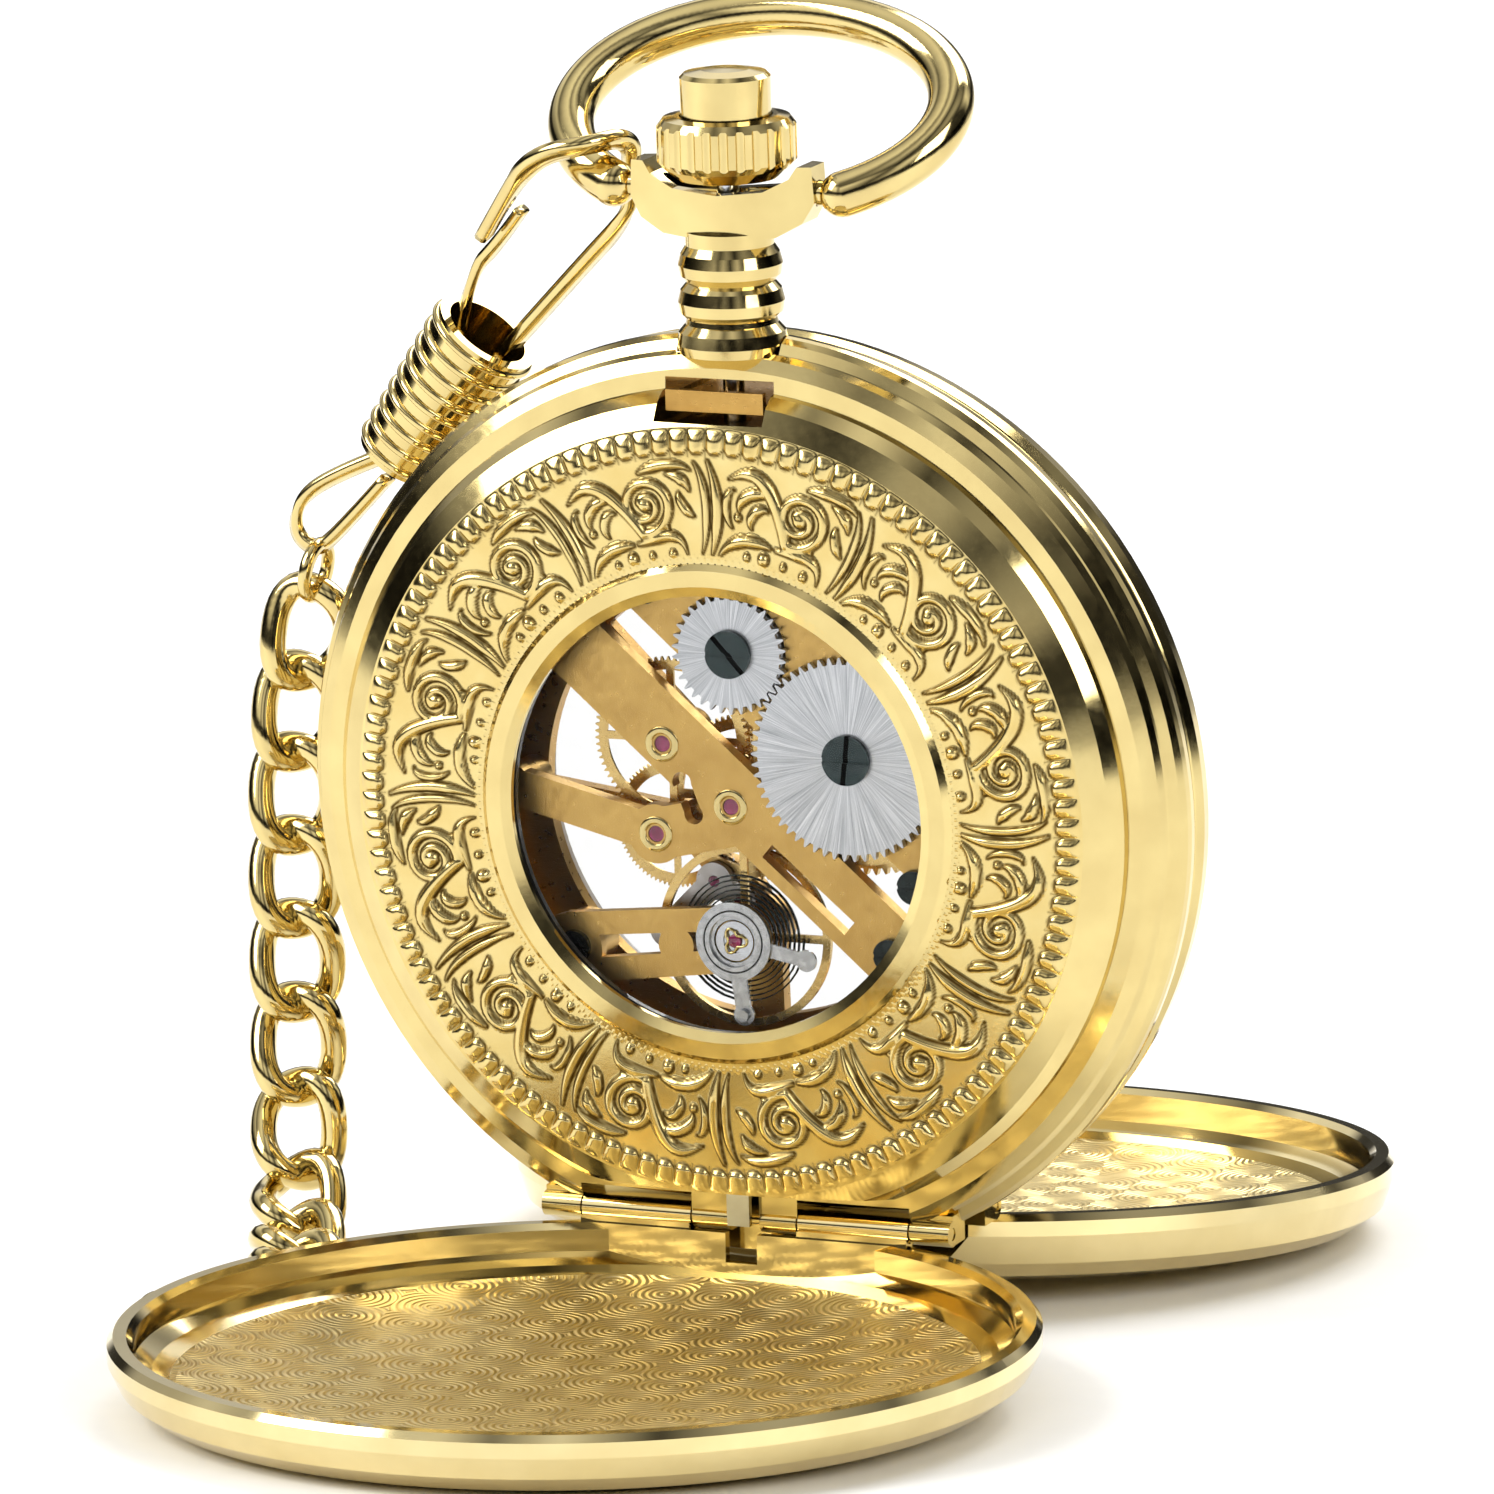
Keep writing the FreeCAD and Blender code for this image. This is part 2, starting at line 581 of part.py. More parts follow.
def make_main_plate():
    """The skeleton base plate: a rim, bosses under the pivots and bars between them."""
    top = size("plate_top")
    low = -1.0
    m = size("movement_radius")
    rim = cut(disc("movement_radius", (0, 0), low, top), [disc(m - 2.4, (0, 0), low - 1, top + 1)])
    edge = lambda p: (p[0] * (m - 1.2) / math.hypot(*p), p[1] * (m - 1.2) / math.hypot(*p))
    bosses = [disc(4.9, BARREL, low, top), disc(1.9, CENTRE, low, top), disc(1.1, THIRD, low, top),
              disc(1.1, FOURTH, low, top), disc(1.0, ESCAPE, low, top), disc(1.6, BALANCE, low, top),
              disc(0.9, PALLET, low, top)]
    runs = [(CENTRE, BARREL, 2.4), (CENTRE, THIRD, 1.6), (CENTRE, FOURTH, 1.6), (FOURTH, ESCAPE, 1.4),
            (ESCAPE, BALANCE, 1.5), (BALANCE, edge(BALANCE), 2.2), (THIRD, edge((-8.6, 8.0)), 1.8),
            (FOURTH, edge((-12, -0.5)), 1.6), (BARREL, edge(BARREL), 6.0)]
    arms = [bar(a, b, w, low, top) for a, b, w in runs]
    post = disc(0.25, MINUTE, -2.45, -0.6)
    pad = disc(0.8, MINUTE, low, top)
    tie = bar(CENTRE, MINUTE, 1.2, low, top)
    hole = disc(0.34, CENTRE, -2, 1)
    stem = cylinder(1.6, (0, 7.6, size("pendant_z")), (0, 15, size("pendant_z")))
    tray = cut(fuse([rim] + bosses + arms + [pad, tie]), [hole, stem])
    finish(fuse([tray, post]), "main_plate", WATCH)


def make_bridges():
    """Barrel bridge, diagonal train bridge, pallet bridge and balance cock on their feet."""
    base, top, floor = size("bridge_base"), size("bridge_top"), size("plate_top")
    m = size("movement_radius")
    normal = (0.66, 0.75)
    disc_all = disc("movement_radius", (0, 0), base, top)
    slab = bar((normal[0] * 4.0 - 0.75 * 20, normal[1] * 4.0 + 0.66 * 20),
               (normal[0] * 4.0 + 0.75 * 20, normal[1] * 4.0 - 0.66 * 20), 40, base - 1, top + 1)
    slab.Placement = Placement(Vector(normal[0] * 20, normal[1] * 20, 0), Rotation()).multiply(slab.Placement)
    upper = common(disc_all, slab)
    feet = [cut(disc("movement_radius", (0, 0), floor + 0.01, base + 0.1), [disc(m - 1.0, (0, 0), -2, 4)])]
    wedge = bar((normal[0] * 6.2 - 0.75 * 20, normal[1] * 6.2 + 0.66 * 20),
                (normal[0] * 6.2 + 0.75 * 20, normal[1] * 6.2 - 0.66 * 20), 40, -3, 4)
    wedge.Placement = Placement(Vector(normal[0] * 20, normal[1] * 20, 0), Rotation()).multiply(wedge.Placement)
    skirt = cut(common(feet[0], wedge), [disc(6.5, BARREL, -1, base)])
    zp = size("pendant_z")
    recess = cut(disc(2.85, CROWN_WHEEL, base + 0.3, top + 1), [disc(2.15, CROWN_WHEEL, base, top + 2)])
    window = box(-1.3, 1.3, 9.6, 11.1, base - 1, base + 0.5)
    holes = [recess, window, disc(0.75, BARREL, base - 1, top + 1),
             cylinder(0.75, (0, 11, zp), (0, 15, zp)),
             disc(0.85, CROWN_WHEEL, top - 0.35, top + 1), disc(0.42, (9.77, -3.4), base - 1, top + 1), disc(0.42, (-4.2, 10.9), base - 1, top + 1)]
    finish(cut(fuse([upper, skirt]), holes), "barrel_bridge", WATCH)

    a, b = DIAGONAL
    left = (-11.9, 0.35)
    limbs = [bar(a, b, 3.5, base, top), bar(FOURTH, left, 1.9, base, top), disc(1.5, FOURTH, base, top),
             bar(FOURTH, (0.5, -0.6), 2.6, base, top), disc(1.75, a, base, top), disc(1.75, b, base, top),
             disc(1.1, left, base, top)]
    stands = [disc(1.1, (a[0], a[1]), floor + 0.01, base + 0.1), disc(1.1, b, floor + 0.01, base + 0.1),
              disc(0.95, left, floor + 0.01, base + 0.1)]
    slot = bar((1.9, -2.1), (6.2, -5.75), 0.85, base - 1, top + 1)
    heart = [disc(0.5, (-2.6, 1.1), base - 1, top + 1), disc(0.5, (-2.0, -0.5), base - 1, top + 1),
             bar((-2.6, 1.1), (-2.0, -0.5), 0.9, base - 1, top + 1)]
    pivots = [disc(0.42, at, base - 1, top + 1) for at in (CENTRE, THIRD, FOURTH)]
    screw = [disc(0.42, (8.4, -6.95), base - 1, top + 1)]
    finish(cut(fuse(limbs + stands), [slot] + heart + pivots + screw), "train_bridge", WATCH)

    low, high = 0.75, 1.15
    pieces = [disc(0.95, ESCAPE, low, high), disc(0.75, PALLET, low, high), bar(ESCAPE, PALLET, 1.2, low, high),
              bar(ESCAPE, (-4.4, -6.9), 1.3, low, high), disc(0.9, (-4.4, -6.9), low, high),
              disc(0.75, (-4.4, -6.9), floor + 0.01, low + 0.1)]
    finish(cut(fuse(pieces), [disc(0.3, ESCAPE, 0, 2), disc(0.25, PALLET, 0, 2)]), "pallet_bridge", WATCH)

    low, high = 2.35, 2.9
    ring = cut(disc(1.75, BALANCE, low, high), [disc(1.02, BALANCE, low - 1, high + 1)])
    pieces = [ring, bar((-9.0, -6.5), (-1.1, -5.75), 1.2, low, high), bar((-8.9, -8.9), (-1.0, -7.9), 1.2, low, high),
              disc(1.75, (-8.9, -7.7), low, high), disc(1.5, (-9.1, -7.8), floor + 0.01, low + 0.1),
              disc(0.95, (-3.12, -7.2), low, high)]
    finish(cut(fuse(pieces), [disc(0.42, (-8.6, -7.6), low - 1, high + 1), disc(1.02, BALANCE, 0, 4)]),
           "balance_cock", WATCH)


SCREWS = [((8.4, -6.95), 2.8), ((9.77, -3.4), 2.8), ((-4.2, 10.9), 2.8), ((-8.6, -7.6), 2.9)]


def make_screws_and_jewels():
    """Slotted screws as one group, and the ruby bearings as another."""
    screws = []
    for (x, y), z in SCREWS:
        head = ring_shape(0.85, 0, z + 0.01, z + 0.33, (x, y))
        shank = ring_shape(0.38, 0, z - 0.7, z + 0.05, (x, y))
        slot = Part.makeBox(2, 0.18, 0.3, Vector(x - 1, y - 0.09, z + 0.2))
        screws.append(head.fuse(shank).cut(slot))
    finish(coded(Part.makeCompound(screws), "bridge_screws", WATCH), "bridge_screws")
    stones = []
    for at in (CENTRE, THIRD, FOURTH):
        stones.append(ring_shape(0.40, 0.0, 2.25, 2.74, at))
    stones.append(ring_shape(0.28, 0.0, 0.85, 1.14, ESCAPE))
    stones.append(ring_shape(0.23, 0.0, 0.85, 1.14, PALLET))
    finish(coded(Part.makeCompound(stones), "jewels", WATCH), "jewels")
    hub = ring_shape(1.0, 0.62, 2.4, 3.05, BALANCE)
    stone = ring_shape(0.62, 0, 2.45, 2.95, BALANCE)
    finish(coded(hub.fuse(stone), "shock_setting", WATCH), "shock_setting")


def arbor(at, radius, z0, z1):
    return ring_shape(radius, 0, z0, z1, at)


def make_power():
    """Barrel, mainspring, arbor and the two polished wheels of the winding work."""
    module = 2 * distance(BARREL, CENTRE) / 84
    drum = toothed(72, module, 0.85, 1.25, BARREL)
    cup = ring_shape(5.6, 5.2, 0.85, 1.85, BARREL).fuse(ring_shape(5.6, 0.75, 0.7, 0.95, BARREL))
    lid = ring_shape(5.6, 0.75, 1.7, 1.9, BARREL)
    hollow = ring_shape(5.2, 0, 0.95, 1.7, BARREL)
    bore = ring_shape(0.75, 0, 0.5, 2.2, BARREL)
    finish(coded(drum.fuse([cup, lid]).cut(hollow).cut(bore), "barrel", WATCH), "barrel")
    finish(coded(ring_shape(5.05, 3.2, 1.0, 1.62, BARREL), "mainspring", WATCH), "mainspring")
    core = ring_shape(1.3, 0, 1.0, 1.65, BARREL).fuse(arbor(BARREL, 0.68, -0.18, 2.88))
    finish(coded(core, "barrel_arbor", WATCH), "barrel_arbor")

    module = 2 * distance(CROWN_WHEEL, BARREL) / 92
    big = toothed(58, module, 2.9, 3.25, BARREL, 0.0, 0.8, 1.2, 0.34).cut(ring_shape(0.9, 0, 3.05, 4, BARREL))
    finish(coded(big.cut(ring_shape(0.3, 0, 2, 4, BARREL)), "ratchet_wheel", WATCH), "ratchet_wheel")
    head = ring_shape(1.25, 0, 3.27, 3.5, BARREL).fuse(ring_shape(0.28, 0, 2.9, 3.3, BARREL))
    slot = Part.makeBox(4, 0.22, 0.3, Vector(BARREL[0] - 2, BARREL[1] - 0.11, 3.4))
    finish(coded(head.cut(slot), "ratchet_screw", WATCH), "ratchet_screw")
    phase = mesh_phase(34, CROWN_WHEEL, 58, BARREL, 0.0)
    small = toothed(34, module, 2.9, 3.25, CROWN_WHEEL, phase, 0.8, 1.2, 0.34)
    face = ring_shape(2.75, 2.25, 2.35, 2.95, CROWN_WHEEL)
    wheel = small.fuse(face).cut(ring_shape(0.8, 0, 2, 4, CROWN_WHEEL))
    finish(coded(wheel, "crown_wheel", WATCH), "crown_wheel")
    head = ring_shape(1.2, 0, 3.27, 3.5, CROWN_WHEEL).fuse(ring_shape(0.75, 0, 2.46, 3.3, CROWN_WHEEL))
    slot = Part.makeBox(4, 0.22, 0.3, Vector(CROWN_WHEEL[0] - 2, CROWN_WHEEL[1] - 0.11, 3.4))
    finish(coded(head.cut(slot), "crown_wheel_screw", WATCH), "crown_wheel_screw")

    along = Placement(Vector(0, 0, size("pendant_z")), turn_x(-90))
    pinion = toothed(16, 0.17, 9.75, 10.95, (0, 0)).cut(ring_shape(0.6, 0, 9, 12, (0, 0)))
    finish(coded(pinion, "winding_pinion", WATCH.multiply(along)), "winding_pinion")
    click_at = (11.2, 7.6)
    pawl = ring_shape(0.75, 0, 2.9, 3.2, click_at)
    tail = Part.makeBox(0.5, 1.45, 0.3, Vector(-0.25, 0, 2.9))
    tail.rotate(Vector(0, 0, 0), Vector(0, 0, 1), 155)
    tail.translate(Vector(click_at[0], click_at[1], 0))
    finish(coded(pawl.fuse(tail), "click", WATCH), "click")
    wire = ring_shape(12.9, 12.65, 2.85, 3.1).common(Part.makeBox(6, 6, 2, Vector(9.6, -0.5, 2.4)))
    finish(coded(wire, "click_spring", WATCH), "click_spring")


def make_train():
    """Centre, third, fourth and escape wheels, each with its pinion on one arbor."""
    m0 = 2 * distance(BARREL, CENTRE) / 84
    m1 = 2 * distance(CENTRE, THIRD) / 90
    m2 = 2 * distance(THIRD, FOURTH) / 85
    m3 = 2 * distance(FOURTH, ESCAPE) / 88
    phase = mesh_phase(12, CENTRE, 72, BARREL, 0.0)
    pinion = toothed(12, m0, 0.85, 1.3, CENTRE, phase)
    wheel = spokes_cut(toothed(80, m1, 0.5, 0.65, CENTRE), 4, 0.9, 3.5, 0.45, 0.5, 0.65, CENTRE)
    shaft = arbor(CENTRE, 0.3, -4.05, 1.98)
    finish(coded(wheel.fuse([pinion, shaft]), "center_wheel", WATCH), "center_wheel")
    phase = mesh_phase(10, THIRD, 80, CENTRE, 0.0)
    pinion = toothed(10, m1, 0.42, 0.75, THIRD, phase)
    wheel = spokes_cut(toothed(75, m2, 1.45, 1.6, THIRD), 4, 0.7, 3.5, 0.4, 1.45, 1.6, THIRD)
    finish(coded(wheel.fuse([pinion, arbor(THIRD, 0.16, -0.17, 1.98)]), "third_wheel", WATCH), "third_wheel")
    phase = mesh_phase(10, FOURTH, 75, THIRD, 0.0)
    pinion = toothed(10, m2, 1.38, 1.7, FOURTH, phase)
    wheel = spokes_cut(toothed(80, m3, 0.2, 0.32, FOURTH), 4, 0.6, 2.6, 0.35, 0.2, 0.32, FOURTH)
    finish(coded(wheel.fuse([pinion, arbor(FOURTH, 0.1, -0.17, 1.98)]), "fourth_wheel", WATCH), "fourth_wheel")
    phase = mesh_phase(8, ESCAPE, 80, FOURTH, 0.0)
    pinion = toothed(8, m3, 0.16, 0.4, ESCAPE, phase)
    hooked = escape_outline(15, 1.12, 0.84, -0.1, 0.02)
    finish(coded(hooked.fuse([pinion, arbor(ESCAPE, 0.09, -0.17, 0.73)]), "escape_wheel", WATCH), "escape_wheel")


def escape_outline(teeth, tip, root, z0, z1):
    """A wheel of leaning club teeth."""
    points = []
    step = 2 * math.pi / teeth
    for i in range(teeth):
        for radius, offset in ((root, 0.0), (tip, 0.42), (tip, 0.52), (root, 0.34)):
            angle = (i + offset) * step
            points.append(Vector(ESCAPE[0] + radius * math.cos(angle), ESCAPE[1] + radius * math.sin(angle), z0))
    points.append(points[0])
    return Part.Face(Part.makePolygon(points)).extrude(Vector(0, 0, z1 - z0))


def make_escapement():
    """Pallet fork, balance with its roller, hairspring, regulator and stud carrier."""
    toward = math.degrees(math.atan2(BALANCE[1] - PALLET[1], BALANCE[0] - PALLET[0]))

    def arm(length, width, angle, z0=0.06, z1=0.22):
        made = Part.makeBox(length, width, z1 - z0, Vector(0, -width / 2, z0))
        made.rotate(Vector(0, 0, 0), Vector(0, 0, 1), angle)
        made.translate(Vector(PALLET[0], PALLET[1], 0))
        return made

    fork = arm(1.12, 0.22, toward).fuse([arm(0.62, 0.2, toward + 100), arm(0.62, 0.2, toward - 100),
                                         arbor(PALLET, 0.09, -0.17, 0.73), ring_shape(0.2, 0, 0.06, 0.22, PALLET)])
    horns = []
    for side in (+1, -1):
        horn = Part.makeBox(0.3, 0.08, 0.16, Vector(1.05, side * 0.12 - 0.04, 0.06))
        horn.rotate(Vector(0, 0, 0), Vector(0, 0, 1), toward)
        horn.translate(Vector(PALLET[0], PALLET[1], 0))
        horns.append(horn)
    finish(coded(fork.fuse(horns), "pallet_fork", WATCH), "pallet_fork")

    rim = ring_shape(4.6, 4.2, 1.45, 1.75, BALANCE)
    spoke = [Part.makeBox(8.8, 0.4, 0.2, Vector(BALANCE[0] - 4.4, BALANCE[1] - 0.2, 1.5)),
             Part.makeBox(0.4, 8.8, 0.2, Vector(BALANCE[0] - 0.2, BALANCE[1] - 4.4, 1.5))]
    staff = arbor(BALANCE, 0.14, -0.17, 2.38)
    roller = ring_shape(0.32, 0, 1.0, 1.15, BALANCE)
    finish(coded(rim.fuse(spoke + [staff, roller, ring_shape(0.5, 0, 1.4, 1.8, BALANCE)]),
                 "balance_wheel", WATCH), "balance_wheel")
    coils = [ring_shape(r, r - 0.06, 1.9, 2.15, BALANCE) for r in (0.75, 1.05, 1.35, 1.65)]
    tie = Part.makeBox(1.2, 0.1, 0.2, Vector(BALANCE[0] + 0.5, BALANCE[1] - 0.05, 1.92))
    hub = ring_shape(0.55, 0.15, 1.85, 2.15, BALANCE)
    finish(coded(hub.fuse(coils + [tie]), "hairspring", WATCH), "hairspring")

    def lever(inner, outer, z0, z1, tip, width):
        made = ring_shape(outer, inner, z0, z1, BALANCE)
        length = distance(BALANCE, tip)
        limb = Part.makeBox(length - inner - 0.1, width, z1 - z0, Vector(inner + 0.1, -width / 2, z0))
        limb.rotate(Vector(0, 0, 0), Vector(0, 0, 1),
                    math.degrees(math.atan2(tip[1] - BALANCE[1], tip[0] - BALANCE[0])))
        limb.translate(Vector(BALANCE[0], BALANCE[1], 0))
        return made.fuse([limb, ring_shape(0.55, 0, z0, z1, tip)])

    finish(coded(lever(1.06, 1.7, 2.93, 3.08, (3.93, -7.48), 0.7), "regulator", WATCH), "regulator")
    finish(coded(lever(1.3, 2.0, 3.1, 3.25, (0.6, -10.4), 0.8).fuse(ring_shape(0.3, 0, 3.2, 3.5, (0.6, -10.4))),
                 "stud_carrier", WATCH), "stud_carrier")


def make_dial_side():
    """Cannon pinion, minute wheel, hour wheel and the two hands."""
    d = distance(CENTRE, MINUTE)
    m1, m2 = 2 * d / 48, 2 * d / 50
    cannon = toothed(12, m1, -1.95, -1.5, CENTRE).fuse(ring_shape(0.5, 0, -3.5, -1.5))
    finish(coded(cannon.cut(ring_shape(0.31, 0, -5, 0)), "cannon_pinion", WATCH), "cannon_pinion")
    phase = mesh_phase(36, MINUTE, 12, CENTRE, 0.0)
    wheel = toothed(36, m1, -1.8, -1.6, MINUTE, phase)
    pinion = toothed(10, m2, -2.4, -1.75, MINUTE)
    finish(coded(wheel.fuse(pinion).cut(ring_shape(0.29, 0, -3, 0, MINUTE)), "minute_wheel", WATCH), "minute_wheel")
    phase = mesh_phase(40, CENTRE, 10, MINUTE, 0.0)
    wheel = toothed(40, m2, -2.35, -2.15, CENTRE, phase).fuse(ring_shape(0.85, 0, -3.25, -2.2))
    finish(coded(wheel.cut(ring_shape(0.56, 0, -5, 0)), "hour_wheel", WATCH), "hour_wheel")
    hour = hand_shape(9.2, 0.62, -3.22, -3.07, 120, 1.25).cut(ring_shape(0.87, 0, -5, 0))
    finish(coded(hour, "hour_hand", WATCH), "hour_hand")
    minute = hand_shape(13.6, 0.5, -3.75, -3.6, 30, 0.85).cut(ring_shape(0.31, 0, -5, 0))
    finish(coded(minute, "minute_hand", WATCH), "minute_hand")


def hand_shape(length, width, z0, z1, angle, hub):
    """A leaf-shaped hand on a round hub, pointing along the given angle."""
    outline = [(0, -width * 0.35), (length * 0.35, -width * 0.5), (length * 0.6, -width), (length, 0),
               (length * 0.6, width), (length * 0.35, width * 0.5), (0, width * 0.35)]
    points = [Vector(x, y, z0) for x, y in outline + outline[:1]]
    leaf = Part.Face(Part.makePolygon(points)).extrude(Vector(0, 0, z1 - z0))
    leaf.rotate(Vector(0, 0, 0), Vector(0, 0, 1), angle)
    return leaf.fuse(ring_shape(hub, 0, z0, z1))


# ------------------------------------------------------------------ clip and chain
def smooth_path(points):
    """Straight runs joined by arcs, each as large as its two runs allow."""
    vectors = [Vector(*p) for p in points]
    edges, start, radii = [], vectors[0], []
    for before, corner, after in zip(vectors, vectors[1:], vectors[2:]):
        back, ahead = (before - corner), (after - corner)
        shorter = min(back.Length, ahead.Length)
        trim = 0.45 * shorter
        turn = math.pi - back.getAngle(ahead)
        radii.append(trim / math.tan(turn / 2))
        back.normalize()
        ahead.normalize()
        first, last = corner + back * trim, corner + ahead * trim
        half = (back + ahead)
        half.normalize()
        centre_gap = trim / math.tan(turn / 2) / math.cos(turn / 2)
        middle = corner + half * (centre_gap - radii[-1])
        edges.append(Part.LineSegment(start, first).toShape())
        edges.append(Part.Arc(first, middle, last).toShape())
        start = last
    edges.append(Part.LineSegment(start, vectors[-1]).toShape())
    return Part.Wire(edges), radii


def tube(points, radius):
    """A round tube along a smoothed path."""
    path, radii = smooth_path(points)
    first, second = Vector(*points[0]), Vector(*points[1])
    ring = Part.Wire([Part.Circle(first, second - first, radius).toShape()])
    shape = path.makePipeShell([ring], True, False)
    print("tube length %.1f volume ratio %.4f radii %s" % (
        path.Length, shape.Volume / (math.pi * radius ** 2 * path.Length),
        " ".join("%.1f" % r for r in radii)))
    return shape


CLIP_WIRE = 0.55
CLIP_HOOK = [(-13.9, 27.4, -0.6), (-11.9, 30.0, 0.5), (-9.6, 32.1, 2.2), (-6.9, 32.7, 2.2), (-5.8, 32.75, -0.7),
             (-6.4, 30.2, -1.75), (-6.9, 28.3, -2.4), (-10.1, 25.3, -3.3), (-15.2, 20.3, -4.55)]
CLIP_GATE = [(-17.0, 21.9, -4.1), (-15.7, 25.0, -2.7), (-13.5, 27.05, -1.9), (-12.2, 28.6, -1.5)]
SLEEVE_TOP = (-15.7, 21.75, -4.5)
SLEEVE_END = (-21.2, 15.0, -4.9)
CLIP_LOOP = [(-21.9, 15.0, -5.0), (-24.4, 14.0, -5.1), (-26.7, 12.6, -5.2), (-27.2, 10.8, -5.2), (-26.0, 9.8, -5.2),
             (-24.5, 11.0, -5.2), (-21.7, 13.9, -5.0)]
CHAIN = [(-25.9, 2.4, 34.6), (-27.7, 3.7, 29.5), (-28.1, 4.3, 18.0), (-28.0, 4.2, 7.2), (-25.8, -0.8, 2.2),
         (-21.9, -9.2, 2.05)]
T_BAR = ((-25.4, -17.5, 1.3), (-16.1, -3.2, 1.3))


def make_clip():
    """The spring hook: bent hook, sprung gate, ribbed sleeve and the eye under it."""
    hook = tube(CLIP_HOOK, CLIP_WIRE)
    eye = tube(CLIP_LOOP, 0.5)
    finish(coded(Part.makeCompound([hook, eye]), "clip_hook", WATCH), "clip_hook")
    finish(coded(tube(CLIP_GATE, 0.5), "clip_gate", WATCH), "clip_gate")
    top, end = Vector(*SLEEVE_TOP), Vector(*SLEEVE_END)
    length = (end - top).Length
    body = Part.makeCone(2.75, 2.05, length)
    ribs = [Part.makeTorus(2.72 - 0.7 * (i + 0.5) / 9, 0.22, Vector(0, 0, length * (i + 0.5) / 9)) for i in range(9)]
    sleeve = body.multiFuse(ribs)
    sleeve = sleeve.cut(Part.makeCone(2.2, 1.5, length + 0.02, Vector(0, 0, -0.01)))
    local = Placement(top, Rotation(Vector(0, 0, 1), end - top))
    finish(coded(sleeve, "clip_sleeve", WATCH.multiply(local)), "clip_sleeve")


def make_chain():
    """The free chain's envelope on its route, and the bar at its far end."""
    finish(coded(tube(CHAIN, size("chain_radius")), "chain", Placement()), "chain")
    a, b = Vector(*T_BAR[0]), Vector(*T_BAR[1])
    rod = Part.makeCylinder(0.9, (b - a).Length, a, b - a)
    ends = [Part.makeSphere(1.25, a), Part.makeSphere(1.25, b)]
    close, last = Vector(*CHAIN[-1]), Vector(*CHAIN[-1]) - Vector(*CHAIN[-2])
    ends.append(Part.makeCylinder(0.7, 2.3, close, last))
    finish(coded(rod.multiFuse(ends), "t_bar", Placement()), "t_bar")


# ------------------------------------------------------------------ build and write
def build():
    settle_front_cover()
    make_case_middle()
    make_bezels()
    make_crystals()
    make_inner_rings()
    make_hinge_pins()
    make_lift_springs()
    make_catch()
    make_cover(+1, "back_cover")
    make_cover(-1, "front_cover")
    make_pendant()
    make_bow()
    make_crown()
    make_main_plate()
    make_bridges()
    make_screws_and_jewels()
    make_power()
    make_train()
    make_escapement()
    make_dial_side()
    make_clip()
    make_chain()
    doc.recompute()


def check():
    """Stop before writing if any object failed or any sub-part is not a sound shape."""
    bad = [o.Name for o in doc.Objects if "Invalid" in o.State or "Error" in o.State]
    for obj in NODES:
        shape = obj.Shape
        if shape.isNull() or not shape.isValid() or shape.Volume <= 0:
            bad.append(obj.Label)
    if bad:
        raise RuntimeError("failed: " + ", ".join(bad))


def write():
    os.makedirs("parts", exist_ok=True)
    for obj in NODES:
        obj.Shape.exportStep("parts/%s.step" % obj.Label)
        box_ = obj.Shape.BoundBox
        print("%-18s solids %d volume %9.3f  z %.2f..%.2f" % (
            obj.Label, len(obj.Shape.Solids), obj.Shape.Volume, box_.ZMin, box_.ZMax))


build()
check()
write()
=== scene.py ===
"""Looks of a double-hunter skeleton pocket watch: finishes, engraved ring, chain, clip and stage.

The frame's parts keep their own meshes and get finishes. The engraved relief, the curb chain, the flat
straps of the clip, the hairspring and the jewels' trim are made here, in millimetres of the watch's own
frame (x right, y to the pendant, z to the movement side) or of the ground frame.
"""

import logging
import math
from dataclasses import dataclass, field
from enum import Enum

import bmesh
import bpy
import numpy as np
from mathutils import Matrix, Vector


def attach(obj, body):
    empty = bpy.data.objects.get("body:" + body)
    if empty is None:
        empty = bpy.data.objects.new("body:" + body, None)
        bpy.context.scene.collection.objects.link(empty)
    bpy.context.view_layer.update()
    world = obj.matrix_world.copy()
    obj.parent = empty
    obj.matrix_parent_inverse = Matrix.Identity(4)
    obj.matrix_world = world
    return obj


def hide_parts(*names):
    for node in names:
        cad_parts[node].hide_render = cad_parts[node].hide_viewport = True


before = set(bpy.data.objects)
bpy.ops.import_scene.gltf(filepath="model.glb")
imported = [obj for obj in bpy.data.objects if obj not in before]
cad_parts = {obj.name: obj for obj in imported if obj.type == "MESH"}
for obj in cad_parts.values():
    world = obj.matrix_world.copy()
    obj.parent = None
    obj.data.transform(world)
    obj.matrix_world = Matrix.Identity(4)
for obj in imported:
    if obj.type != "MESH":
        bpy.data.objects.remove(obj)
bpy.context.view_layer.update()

MM = 0.001
FULL_TURN = 2 * math.pi
LOG = logging.getLogger("pocket_watch")

# The case stands upright and leans back a little; the covers lie almost flat on the ground.
CASE_TURN = math.radians(93.7)
CASE_AT = Vector((0.0, -2.0602, 26.6187))
BACK_COVER_AT = (0.0, -23.8604, 4.0912)
FRONT_COVER_AT = (0.0, 23.8604, 4.4525)
COVER_TILT = math.radians(2.0)
RATCHET_AT = (6.5, 2.87, 3.0)
CROWN_WHEEL_AT = (0.35, 7.83, 3.0)
BALANCE_AT = (0.11, -6.73)
WATCH = Matrix.Scale(MM, 4) @ Matrix.Translation(CASE_AT) @ Matrix.Rotation(CASE_TURN, 4, "X")
GROUND = Matrix.Scale(MM, 4)


